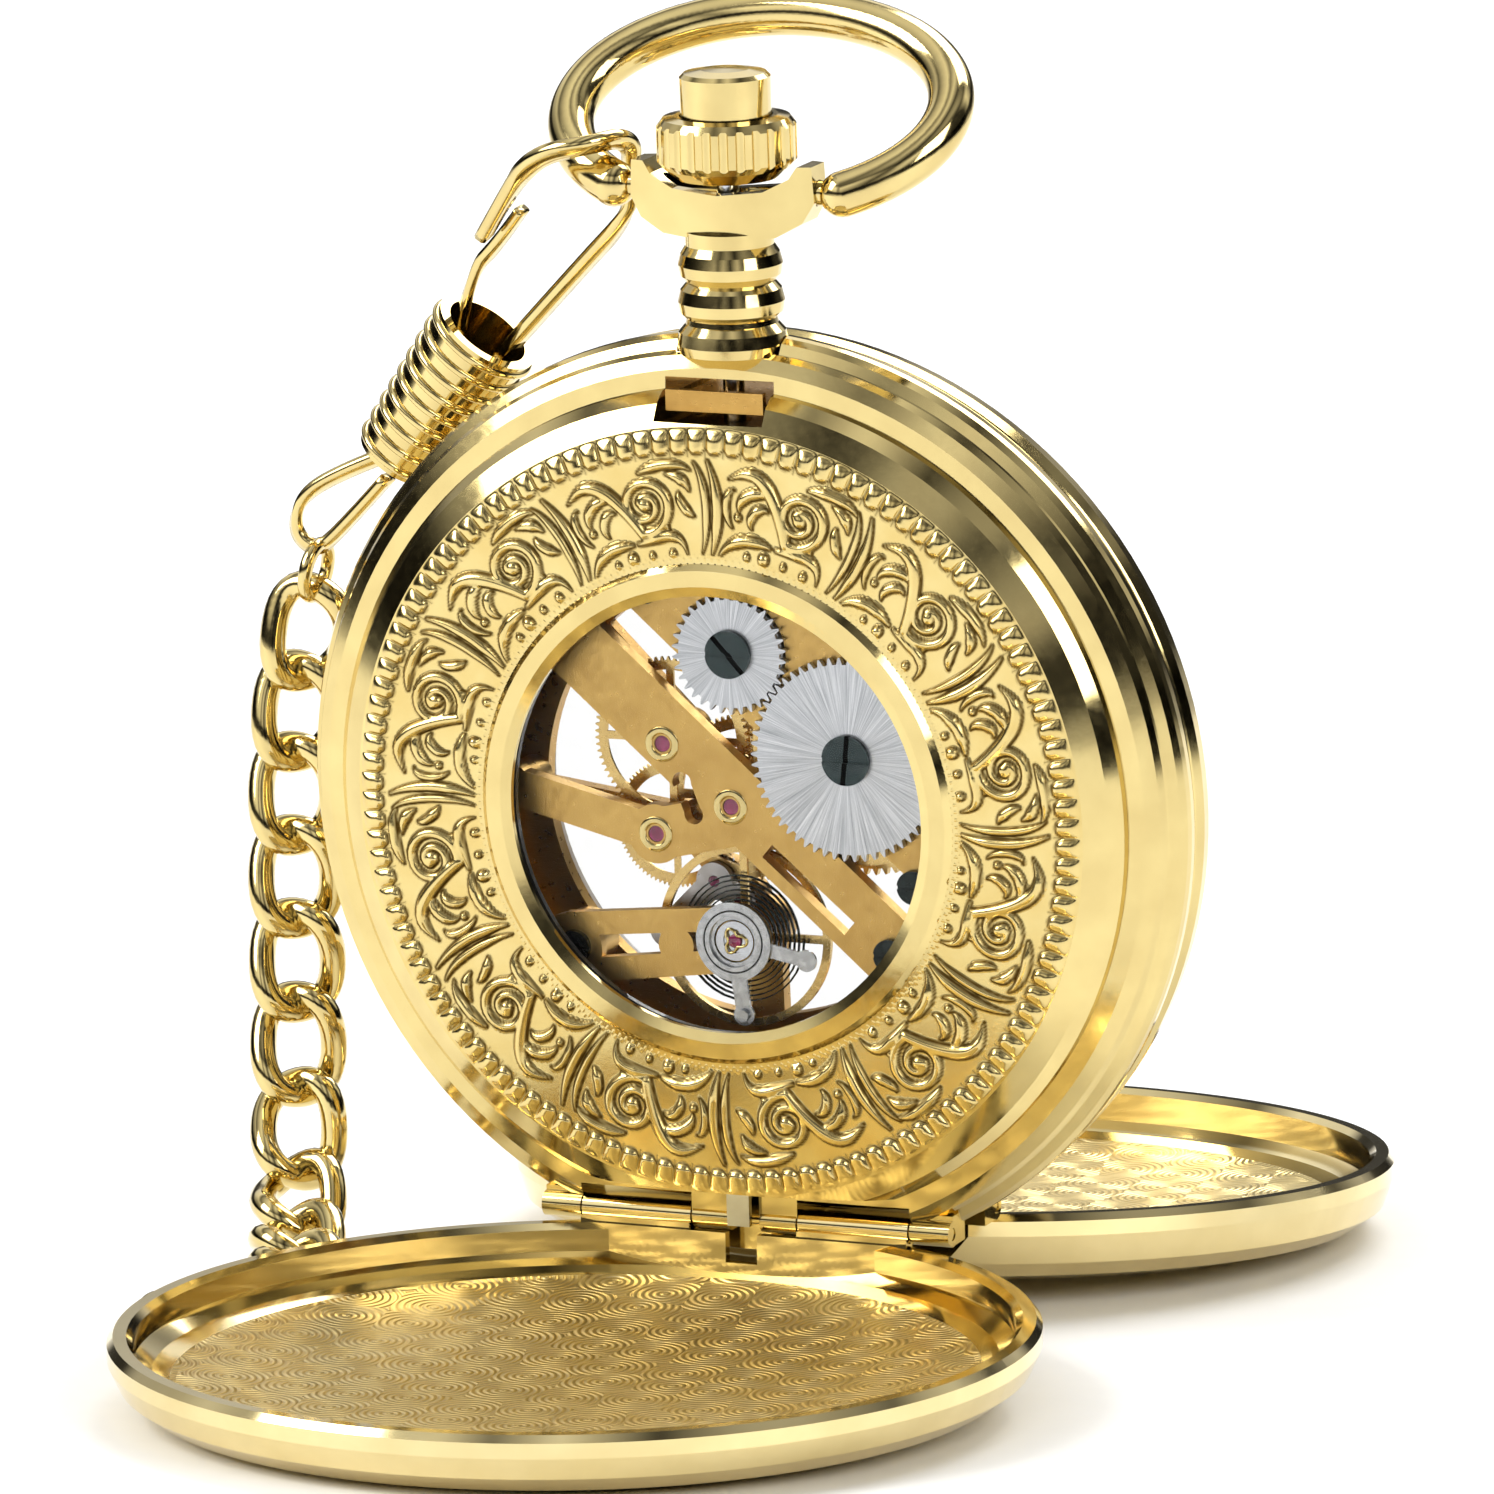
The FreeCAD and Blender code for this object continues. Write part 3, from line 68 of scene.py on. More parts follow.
# ---------------------------------------------------------------- small mesh kit
def finish_mesh(bm: bmesh.types.BMesh, name: str, place: Matrix, smooth: bool = True) -> bpy.types.Object:
    """Turn a mesh in millimetres into an object at the origin.

    Args:
        bm: the mesh, freed here.
        name: name of the new object.
        place: millimetres of the maker's frame to metres of the row frame.
        smooth: whether faces are smooth shaded.

    Returns:
        The linked object.
    """
    bmesh.ops.remove_doubles(bm, verts=bm.verts, dist=1e-5)
    bmesh.ops.transform(bm, matrix=place, verts=bm.verts)
    bmesh.ops.recalc_face_normals(bm, faces=bm.faces)
    mesh = bpy.data.meshes.new(name)
    bm.to_mesh(mesh)
    bm.free()
    for face in mesh.polygons:
        face.use_smooth = smooth
    obj = bpy.data.objects.new(name, mesh)
    bpy.context.scene.collection.objects.link(obj)
    return obj


def spin_ring(profile: list[tuple[float, float]], steps: int) -> bmesh.types.BMesh:
    """Spin a closed profile of (radius, height) about Z.

    Args:
        profile: corners in order.
        steps: number of divisions round the turn.

    Returns:
        The spun mesh.
    """
    bm = bmesh.new()
    verts = [bm.verts.new((r, 0.0, z)) for r, z in profile]
    edges = [bm.edges.new(pair) for pair in zip(verts, verts[1:] + verts[:1])]
    bmesh.ops.spin(bm, geom=verts + edges, cent=(0, 0, 0), axis=(0, 0, 1), angle=FULL_TURN, steps=steps,
                   use_merge=True)
    return bm


def section_at(line: np.ndarray, i: int, section: list[tuple[float, float]], across: Vector,
               closed: bool) -> list[Vector]:
    """Corners of a section set square to a line at its point i.

    Args:
        line: points along the way.
        i: number of the point.
        section: corners of the section as (across, other).
        across: direction the section's first axis keeps to.
        closed: whether the line is a loop.

    Returns:
        The corners, in order.
    """
    count = len(line)
    before = line[(i - 1) % count] if closed or i > 0 else line[i]
    after = line[(i + 1) % count] if closed or i < count - 1 else line[i]
    tangent = (Vector(after) - Vector(before)).normalized()
    side = (across - tangent * across.dot(tangent)).normalized()
    other = tangent.cross(side)
    return [Vector(line[i]) + side * u + other * v for u, v in section]


def sweep(line: np.ndarray, section: list[tuple[float, float]], across: Vector,
          closed: bool = False) -> bmesh.types.BMesh:
    """Carry a section along a line, keeping its first axis near a given direction.

    Args:
        line: points along the way.
        section: corners of the section, in millimetres, as (across, other).
        across: direction the section's first axis keeps to.
        closed: whether the line is a loop, whose two ends then meet.

    Returns:
        The swept mesh, with end caps when open.
    """
    bm = bmesh.new()
    rings = [[bm.verts.new(point) for point in section_at(line, i, section, across, closed)]
             for i in range(len(line))]
    spans = list(zip(rings, rings[1:]))
    if closed:
        spans.append((rings[-1], rings[0]))
    corners = len(section)
    for low, high in spans:
        for k in range(corners):
            bm.faces.new((low[k], low[(k + 1) % corners], high[(k + 1) % corners], high[k]))
    if not closed:
        bm.faces.new(rings[0])
        bm.faces.new(list(reversed(rings[-1])))
    return bm


def round_section(radius: float, count: int = 12, flat: float = 1.0) -> list[tuple[float, float]]:
    """An oval section; flat is its second half-axis over its first."""
    return [(radius * math.cos(FULL_TURN * i / count), radius * flat * math.sin(FULL_TURN * i / count))
            for i in range(count)]


def curve_points(points: list[tuple[float, float, float]], name: str, resolution: int = 12) -> np.ndarray:
    """Read points along a smooth NURBS line.

    Args:
        points: control points, in the units of the answer.
        name: name of the passing curve.
        resolution: points for each stretch between control points.

    Returns:
        The points along the line, one row each.
    """
    curve = route_curve(points, name, resolution)
    mesh = bpy.data.meshes.new_from_object(curve)
    out = np.array([v.co[:] for v in mesh.vertices])
    bpy.data.objects.remove(curve)
    return out


def route_curve(points: list[tuple[float, float, float]], name: str, resolution: int) -> bpy.types.Object:
    """Make a NURBS curve without thickness.

    Args:
        points: control points.
        name: name of the curve.
        resolution: points for each stretch between control points.

    Returns:
        The linked curve object.
    """
    data = bpy.data.curves.new(name, "CURVE")
    data.dimensions = "3D"
    data.resolution_u = resolution
    spline = data.splines.new("NURBS")
    spline.points.add(len(points) - 1)
    for target, point in zip(spline.points, points):
        target.co = (*point, 1.0)
    spline.order_u = 3
    spline.use_endpoint_u = True
    obj = bpy.data.objects.new(name, data)
    bpy.context.scene.collection.objects.link(obj)
    return obj


# ---------------------------------------------------------------- finishes
class Tone(Enum):
    """Base colours of the metals and the rest, in linear light."""

    GOLD = (0.74, 0.595, 0.26)
    WARM_GOLD = (0.62, 0.38, 0.11)
    BRASS = (0.78, 0.56, 0.22)
    STEEL = (0.62, 0.64, 0.67)
    BLACK_STEEL = (0.035, 0.045, 0.045)
    # Dark brown painted shade for the engraving's outlines and creases.
    CREASE_SHADE = (0.10, 0.055, 0.008)


class Nodes:
    """A thin wrapper that adds shader nodes and links them."""

    def __init__(self, name: str) -> None:
        """Start a new material called name."""
        self.material = bpy.data.materials.new(name)
        self.material.use_nodes = True
        self.tree = self.material.node_tree
        self.shader = self.tree.nodes["Principled BSDF"]

    def add(self, kind: str, inputs: dict | None = None, **props: object) -> bpy.types.Node:
        """Add a node.

        Args:
            kind: the node's type name without its ShaderNode prefix.
            inputs: socket name or index to a value or an output socket.
            props: properties of the node.

        Returns:
            The node.
        """
        node = self.tree.nodes.new("ShaderNode" + kind)
        for key, value in props.items():
            setattr(node, key, value)
        for key, value in (inputs or {}).items():
            self.put(node, key, value)
        return node

    def put(self, node: bpy.types.Node, key: str | int, value: object) -> None:
        """Set a socket to a value, or link an output socket to it.

        Args:
            node: the node whose socket it is.
            key: the socket's name or number.
            value: a plain value, or an output socket.
        """
        if isinstance(value, bpy.types.NodeSocket):
            self.tree.links.new(value, node.inputs[key])
        else:
            node.inputs[key].default_value = value

    def math(self, operation: str, a: object, b: object = 0.0) -> bpy.types.NodeSocket:
        """A math node's output."""
        return self.add("Math", {0: a, 1: b}, operation=operation).outputs[0]

    def place(self, at: Vector | None = None, turn: float = CASE_TURN,
              unit: float = MM) -> bpy.types.NodeSocket:
        """Bring Object coordinates into a maker's frame.

        Args:
            at: the frame's origin in metres; the watch's own when left out.
            turn: the frame's turn about X.
            unit: metres for each unit of the answer.

        Returns:
            The coordinates, in millimetres as a rule.
        """
        coords = self.add("TexCoord").outputs["Object"]
        at = CASE_AT * MM if at is None else at
        node = self.add("Mapping", {"Vector": coords, "Location": at, "Rotation": (turn, 0, 0),
                                    "Scale": (unit, unit, unit)}, vector_type="TEXTURE")
        return node.outputs[0]

    def ramp(self, value: object, stops: list[tuple[float, tuple[float, ...]]]) -> bpy.types.NodeSocket:
        """Colour a value by a ramp.

        Args:
            value: the value from 0 to 1.
            stops: place and colour of each stop.

        Returns:
            The colour.
        """
        node = self.add("ValToRGB", {0: value})
        while len(node.color_ramp.elements) < len(stops):
            node.color_ramp.elements.new(0.5)
        for element, (at, colour) in zip(node.color_ramp.elements, stops):
            element.position = at
            element.color = (*colour[:3], 1.0)
        return node.outputs[0]

    def polar(self, place: bpy.types.NodeSocket) -> tuple[bpy.types.NodeSocket, ...]:
        """Split coordinates for a pattern that runs round an axis.

        Args:
            place: coordinates whose Z axis the pattern runs round.

        Returns:
            The outputs X, Y and Z, and the distance from the axis.
        """
        parts = self.add("SeparateXYZ", {0: place}).outputs
        flat = self.add("CombineXYZ", {0: parts["X"], 1: parts["Y"]}).outputs[0]
        radius = self.add("VectorMath", {0: flat}, operation="LENGTH").outputs["Value"]
        return parts["X"], parts["Y"], parts["Z"], radius

    def spread(self, value: object, low: float, high: float, start: float = 0.3,
               end: float = 0.7) -> bpy.types.NodeSocket:
        """Map a value from start..end onto low..high.

        Args:
            value: the value to map.
            low: answer at start.
            high: answer at end.
            start: lowest value met.
            end: highest value met.

        Returns:
            The mapped value.
        """
        return self.add("MapRange", {0: value, 1: start, 2: end, 3: low, 4: high}).outputs[0]

    def cloud(self, place: object, scale: float, detail: float) -> bpy.types.NodeSocket:
        """Soft noise over the coordinates given."""
        return self.add("TexNoise", {"Vector": place, "Scale": scale, "Detail": detail}).outputs["Fac"]

    def bump(self, height: object, strength: float, distance: float) -> None:
        """Bump the surface by a height, distance in millimetres."""
        node = self.add("Bump", {"Height": height, "Strength": strength, "Distance": distance * MM})
        self.put(self.shader, "Normal", node.outputs[0])


def blend_colour(nodes: Nodes, share: object, first: object, second: object) -> bpy.types.NodeSocket:
    """Mix two colours.

    Args:
        nodes: the material being built.
        share: how much of the second colour shows.
        first: colour where share is 0.
        second: colour where share is 1.

    Returns:
        The mixed colour.
    """
    node = nodes.add("Mix", data_type="RGBA")
    for index, value in ((0, share), (6, first), (7, second)):
        if isinstance(value, tuple):
            value = (*value[:3], 1.0)
        nodes.put(node, index, value)
    return node.outputs[2]


@dataclass(frozen=True)
class Metal:
    """A metal with fine wear: colour, roughness and a faint hand-polished or brushed unevenness."""

    name: str
    tone: tuple[float, float, float]
    roughness: float = 0.12
    grain: float = 0.0
    grain_way: tuple[float, float, float] = (1.0, 1.0, 1.0)
    wear: float = 0.12

    def build(self) -> bpy.types.Material:
        """Build the material."""
        n = Nodes(self.name)
        place = n.place()
        worn = tuple(c * (1 - self.wear) * (1 - 0.25 * i * self.wear) for i, c in enumerate(self.tone))
        n.put(n.shader, "Base Color", n.ramp(n.cloud(place, 0.35, 4.0), [(0.3, worn), (0.7, self.tone)]))
        n.put(n.shader, "Metallic", 1.0)
        spots = n.cloud(place, 2.4, 6.0)
        n.put(n.shader, "Roughness", n.spread(spots, self.roughness * 0.8, self.roughness * 1.35))
        if self.grain > 0:
            stretched = n.add("VectorMath", {0: place, 1: self.grain_way}, operation="MULTIPLY").outputs[0]
            n.bump(n.cloud(stretched, 6.0, 8.0), self.grain, 0.03)
        else:
            n.bump(spots, 0.05, 0.02)
        return n.material


@dataclass(frozen=True)
class Sunburst:
    """Steel brushed outwards from a wheel's own axis."""

    name: str
    centre: tuple[float, float, float]
    rays: float = 26.0

    def build(self) -> bpy.types.Material:
        """Build the material."""
        n = Nodes(self.name)
        x, y, _, radius = n.polar(n.place(WATCH @ Vector(self.centre)))
        angle = n.math("ARCTAN2", y, x)
        round_it = n.math("MULTIPLY", angle, self.rays)
        outwards = n.math("MULTIPLY", radius, 0.12)
        spread = n.add("CombineXYZ", {0: round_it, 1: outwards}).outputs[0]
        rays = n.add("TexNoise", {"Vector": spread, "Scale": 1.6, "Detail": 9.0, "Roughness": 0.75})
        brushed = rays.outputs["Fac"]
        n.put(n.shader, "Base Color", n.ramp(brushed, [(0.32, (0.34, 0.36, 0.39)), (0.5, Tone.STEEL.value),
                                                       (0.66, (0.93, 0.94, 0.96))]))
        n.put(n.shader, "Metallic", 1.0)
        n.put(n.shader, "Roughness", n.spread(brushed, 0.42, 0.26))
        n.bump(brushed, 0.35, 0.04)
        return n.material


@dataclass(frozen=True)
class SlottedScrew:
    """Blackened screw head with one straight slot, the slot painted near-black as shade."""

    name: str
    centre: tuple[float, float, float]
    turn: float
    slot: float = 0.13

    def build(self) -> bpy.types.Material:
        """Build the material."""
        n = Nodes(self.name)
        x, y, _, _ = n.polar(n.place(WATCH @ Vector(self.centre)))
        across = n.math("SUBTRACT", n.math("MULTIPLY", x, math.sin(self.turn)),
                        n.math("MULTIPLY", y, math.cos(self.turn)))
        groove = n.math("LESS_THAN", n.math("ABSOLUTE", across), self.slot)
        cloud = n.cloud(n.place(), 3.0, 5.0)
        steel = n.ramp(cloud, [(0.3, (0.03, 0.045, 0.045)), (0.7, (0.06, 0.075, 0.075))])
        # Painted shade: the slot is mixed to near-black over the head's black steel.
        n.put(n.shader, "Base Color", blend_colour(n, groove, steel, (0.002, 0.002, 0.002)))
        n.put(n.shader, "Metallic", 1.0)
        n.put(n.shader, "Roughness", n.spread(groove, 0.24, 0.8, 0.0, 1.0))
        n.bump(n.math("SUBTRACT", 1.0, groove), 0.8, 0.1)
        return n.material


@dataclass(frozen=True)
class TurnedRings:
    """Steel turned in rings about the balance's axis, with painted shade in the grooves."""

    name: str = "regulator_rings"
    pitch: float = 0.26
    groove: float = 0.045
    reach: float = 1.9

    def build(self) -> bpy.types.Material:
        """Build the material."""
        n = Nodes(self.name)
        _, _, _, radius = n.polar(n.place(WATCH @ Vector((*BALANCE_AT, 3.0))))
        step = n.math("PINGPONG", radius, self.pitch)
        grooves = n.math("MULTIPLY", n.math("LESS_THAN", step, self.groove),
                         n.math("LESS_THAN", radius, self.reach))
        steel = n.ramp(n.cloud(n.place(), 3.0, 6.0), [(0.3, (0.42, 0.43, 0.44)), (0.7, (0.60, 0.61, 0.62))])
        # Painted shade: the grooves are mixed to dark grey.
        n.put(n.shader, "Base Color", blend_colour(n, grooves, steel, (0.07, 0.07, 0.07)))
        n.put(n.shader, "Metallic", 1.0)
        n.put(n.shader, "Roughness", 0.27)
        n.bump(n.math("SUBTRACT", 1.0, grooves), 0.7, 0.06)
        return n.material


@dataclass(frozen=True)
class Engraved:
    """Gold relief with painted shade along its outlines and creases; reads the piece's own attribute."""

    name: str = "engraved_gold"

    def build(self) -> bpy.types.Material:
        """Build the material."""
        n = Nodes(self.name)
        dark_marks = n.add("Attribute", attribute_name="dark_marks").outputs["Fac"]
        place = n.place()
        gold = n.ramp(n.cloud(place, 0.5, 5.0), [(0.3, (0.68, 0.51, 0.19)), (0.7, Tone.GOLD.value)])
        # Painted shade: the piece's attribute mixes in dark brown along the relief's outlines and creases.
        n.put(n.shader, "Base Color", blend_colour(n, dark_marks, gold, Tone.CREASE_SHADE.value))
        n.put(n.shader, "Metallic", 1.0)
        n.put(n.shader, "Roughness", n.spread(dark_marks, 0.17, 0.55, 0.0, 1.0))
        n.bump(n.cloud(place, 5.0, 3.0), 0.12, 0.02)
        return n.material


@dataclass(frozen=True)
class EngineTurned:
    """Gold of a lying cover: mirror outside, overlapping turned circles on the inner floor, with painted
    shade in their troughs.
    """

    name: str
    centre: tuple[float, float, float]
    tilt: float
    reach: float = 19.6
    under: float = -3.25
    ring_rate: float = 56.0

    def build(self) -> bpy.types.Material:
        """Build the material."""
        n = Nodes(self.name)
        place = n.place(Vector(self.centre) * MM, self.tilt)
        x, y, z, radius = n.polar(place)
        flat = n.add("CombineXYZ", {0: x, 1: y}).outputs[0]
        cells = n.add("TexVoronoi", {"Vector": flat, "Scale": 0.30, "Randomness": 0.4},
                      voronoi_dimensions="2D")
        rings = n.math("SINE", n.math("MULTIPLY", cells.outputs["Distance"], self.ring_rate))
        within = n.math("LESS_THAN", radius, self.reach)
        inside = n.math("MULTIPLY", within, n.math("GREATER_THAN", z, self.under))
        wave = n.math("MULTIPLY", n.math("ADD", n.math("MULTIPLY", rings, 0.5), 0.5), inside)
        # Painted shade: the troughs of the turned circles are mixed towards a darker gold.
        share = n.math("MULTIPLY", n.math("MULTIPLY", n.math("SUBTRACT", 1.0, wave), inside), 0.42)
        gold = n.ramp(n.cloud(place, 0.25, 4.0), [(0.3, (0.78, 0.63, 0.30)), (0.7, (0.88, 0.73, 0.38))])
        n.put(n.shader, "Base Color", blend_colour(n, share, gold, (0.45, 0.32, 0.10)))
        n.put(n.shader, "Metallic", 1.0)
        n.put(n.shader, "Roughness", n.spread(inside, 0.09, 0.36, 0.0, 1.0))
        n.bump(wave, 0.9, 0.09)
        return n.material


@dataclass(frozen=True)
class Glass:
    """Thin clear crystal with the faintest smear."""

    name: str = "crystal_clear"

    def build(self) -> bpy.types.Material:
        """Build the material."""
        n = Nodes(self.name)
        smear = n.cloud(n.place(), 0.6, 3.0)
        n.put(n.shader, "Base Color", n.ramp(smear, [(0.3, (0.0, 0.0, 0.0)), (0.7, (0.01, 0.01, 0.01))]))
        n.put(n.shader, "Roughness", n.spread(smear, 0.0, 0.02))
        n.put(n.shader, "Alpha", 0.08)
        n.put(n.shader, "IOR", 1.45)
        return n.material


@dataclass(frozen=True)
class Stone:
    """A smooth coated solid with a little cloud in its depth: the rubies, and the black seals."""

    name: str = "ruby_stone"
    tone: tuple[float, float, float] = (0.16, 0.01, 0.045)
    light: tuple[float, float, float] = (0.38, 0.04, 0.14)
    roughness: float = 0.08

    def build(self) -> bpy.types.Material:
        """Build the material."""
        n = Nodes(self.name)
        cloud = n.cloud(n.place(), 2.0, 3.0)
        n.put(n.shader, "Base Color", n.ramp(cloud, [(0.35, self.tone), (0.65, self.light)]))
        n.put(n.shader, "Roughness", self.roughness)
        n.put(n.shader, "Coat Weight", 0.6)
        n.bump(cloud, 0.05, 0.02)
        return n.material


@dataclass(frozen=True)
class DialEnamel:
    """Pale enamel with plain black hour bars and a minute track."""

    name: str = "dial_enamel"

    def marks(self, n: Nodes, angle: object, radius: object, count: int, half: float, low: float,
              high: float) -> bpy.types.NodeSocket:
        """Draw one circle of bars.

        Args:
            n: the material being built.
            angle: turn about the dial's middle.
            radius: distance from the dial's middle.
            count: number of bars.
            half: half of a bar's width, in millimetres.
            low: radius at which the bars start.
            high: radius at which the bars end.

        Returns:
            1 on the bars and 0 elsewhere.
        """
        away = n.math("PINGPONG", angle, FULL_TURN / count / 2)
        thin = n.math("LESS_THAN", n.math("MULTIPLY", away, radius), half)
        span = n.math("MULTIPLY", n.math("GREATER_THAN", radius, low), n.math("LESS_THAN", radius, high))
        return n.math("MULTIPLY", thin, span)

    def build(self) -> bpy.types.Material:
        """Build the material."""
        n = Nodes(self.name)
        place = n.place()
        x, y, _, radius = n.polar(place)
        angle = n.math("ADD", n.math("ARCTAN2", x, y), FULL_TURN)
        hours = self.marks(n, angle, radius, 12, 0.32, 12.2, 14.7)
        minutes = self.marks(n, angle, radius, 60, 0.09, 15.2, 15.8)
        enamel = n.ramp(n.cloud(place, 1.5, 4.0), [(0.3, (0.78, 0.76, 0.70)), (0.7, (0.86, 0.84, 0.79))])
        dark_marks = n.math("MAXIMUM", hours, minutes)
        n.put(n.shader, "Base Color", blend_colour(n, dark_marks, enamel, (0.01, 0.01, 0.012)))
        n.put(n.shader, "Roughness", 0.28)
        n.bump(dark_marks, 0.2, 0.02)
        return n.material


@dataclass
class Finishes:
    """Every finish of the watch, built once."""

    made: dict[str, bpy.types.Material] = field(default_factory=dict)

    def build(self) -> None:
        """Build all materials and give each frame node its own."""
        plain = (1.0, 1.0, 1.0)
        kinds: list[object] = [
            Metal("gold_polished", Tone.GOLD.value, 0.10),
            Metal("gold_satin", Tone.WARM_GOLD.value, 0.30, 0.5, (0.35, 3.0, 1.0), 0.2),
            Metal("gold_bridge", (0.72, 0.47, 0.15), 0.33, 0.45, (2.2, 0.5, 1.0), 0.18),
            Metal("brass_wheel", Tone.BRASS.value, 0.24, 0.25, plain, 0.2),
            Metal("steel_polished", Tone.STEEL.value, 0.16, 0.15, plain, 0.15),
            Metal("steel_satin", (0.55, 0.55, 0.56), 0.34, 0.4, (0.6, 3.0, 1.0), 0.2),
            Metal("steel_black", Tone.BLACK_STEEL.value, 0.22, 0.2, plain, 0.3),
            Metal("steel_blue", (0.03, 0.05, 0.2), 0.2, 0.1, plain, 0.3),
            Glass(),
            Stone(),
            Engraved(),
            DialEnamel(),
            Stone("seal_black", (0.015, 0.015, 0.015), (0.03, 0.03, 0.03), 0.6),
            EngineTurned("back_cover_gold", BACK_COVER_AT, COVER_TILT),
            EngineTurned("front_cover_gold", FRONT_COVER_AT, -COVER_TILT, under=-3.6),
            SlottedScrew("ratchet_slot", RATCHET_AT, 1.45),
            SlottedScrew("crown_slot", CROWN_WHEEL_AT, 2.3),
            TurnedRings(),
            Sunburst("sunburst_ratchet_wheel", RATCHET_AT),
            Sunburst("sunburst_crown_wheel", CROWN_WHEEL_AT),
        ]
        for kind in kinds:
            self.made[kind.name] = kind.build()
        self.dress()

    def dress(self) -> None:
        """Give every frame node its finish."""
        groups = {
            "gold_polished": "case_middle back_bezel front_bezel pendant bow crown crown_button "
                             "back_hinge_pin front_hinge_pin clip_hook clip_gate clip_sleeve chain t_bar",
            "gold_satin": "main_plate movement_ring cover_catch",
            "gold_bridge": "barrel_bridge train_bridge balance_cock",
            "brass_wheel": "barrel center_wheel third_wheel fourth_wheel minute_wheel hour_wheel "
                           "cannon_pinion balance_wheel",
            "steel_polished": "back_lift_spring front_lift_spring winding_stem winding_pinion pallet_fork "
                              "escape_wheel shock_setting barrel_arbor mainspring click click_spring",
            "steel_satin": "pallet_bridge",
            "regulator_rings": "regulator stud_carrier",
            "steel_black": "bridge_screws",
            "ratchet_slot": "ratchet_screw",
            "crown_slot": "crown_wheel_screw",
            "steel_blue": "hairspring hour_hand minute_hand",
            "crystal_clear": "back_crystal front_crystal",
            "ruby_stone": "jewels",
            "dial_enamel": "dial",
            "seal_black": "back_gasket front_gasket",
            "sunburst_ratchet_wheel": "ratchet_wheel",
            "sunburst_crown_wheel": "crown_wheel",
            "back_cover_gold": "back_cover",
            "front_cover_gold": "front_cover",
        }
        for finish, names in groups.items():
            for name in names.split():
                self.wear(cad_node(name), finish)

    def wear(self, obj: bpy.types.Object, finish: str) -> None:
        """Put one finish on one object.

        Args:
            obj: the piece or frame node.
            finish: name of the finish.
        """
        obj.data.materials.clear()
        obj.data.materials.append(self.made[finish])


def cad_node(name: str) -> bpy.types.Object:
    """The frame's object of a node."""
    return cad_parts[name]


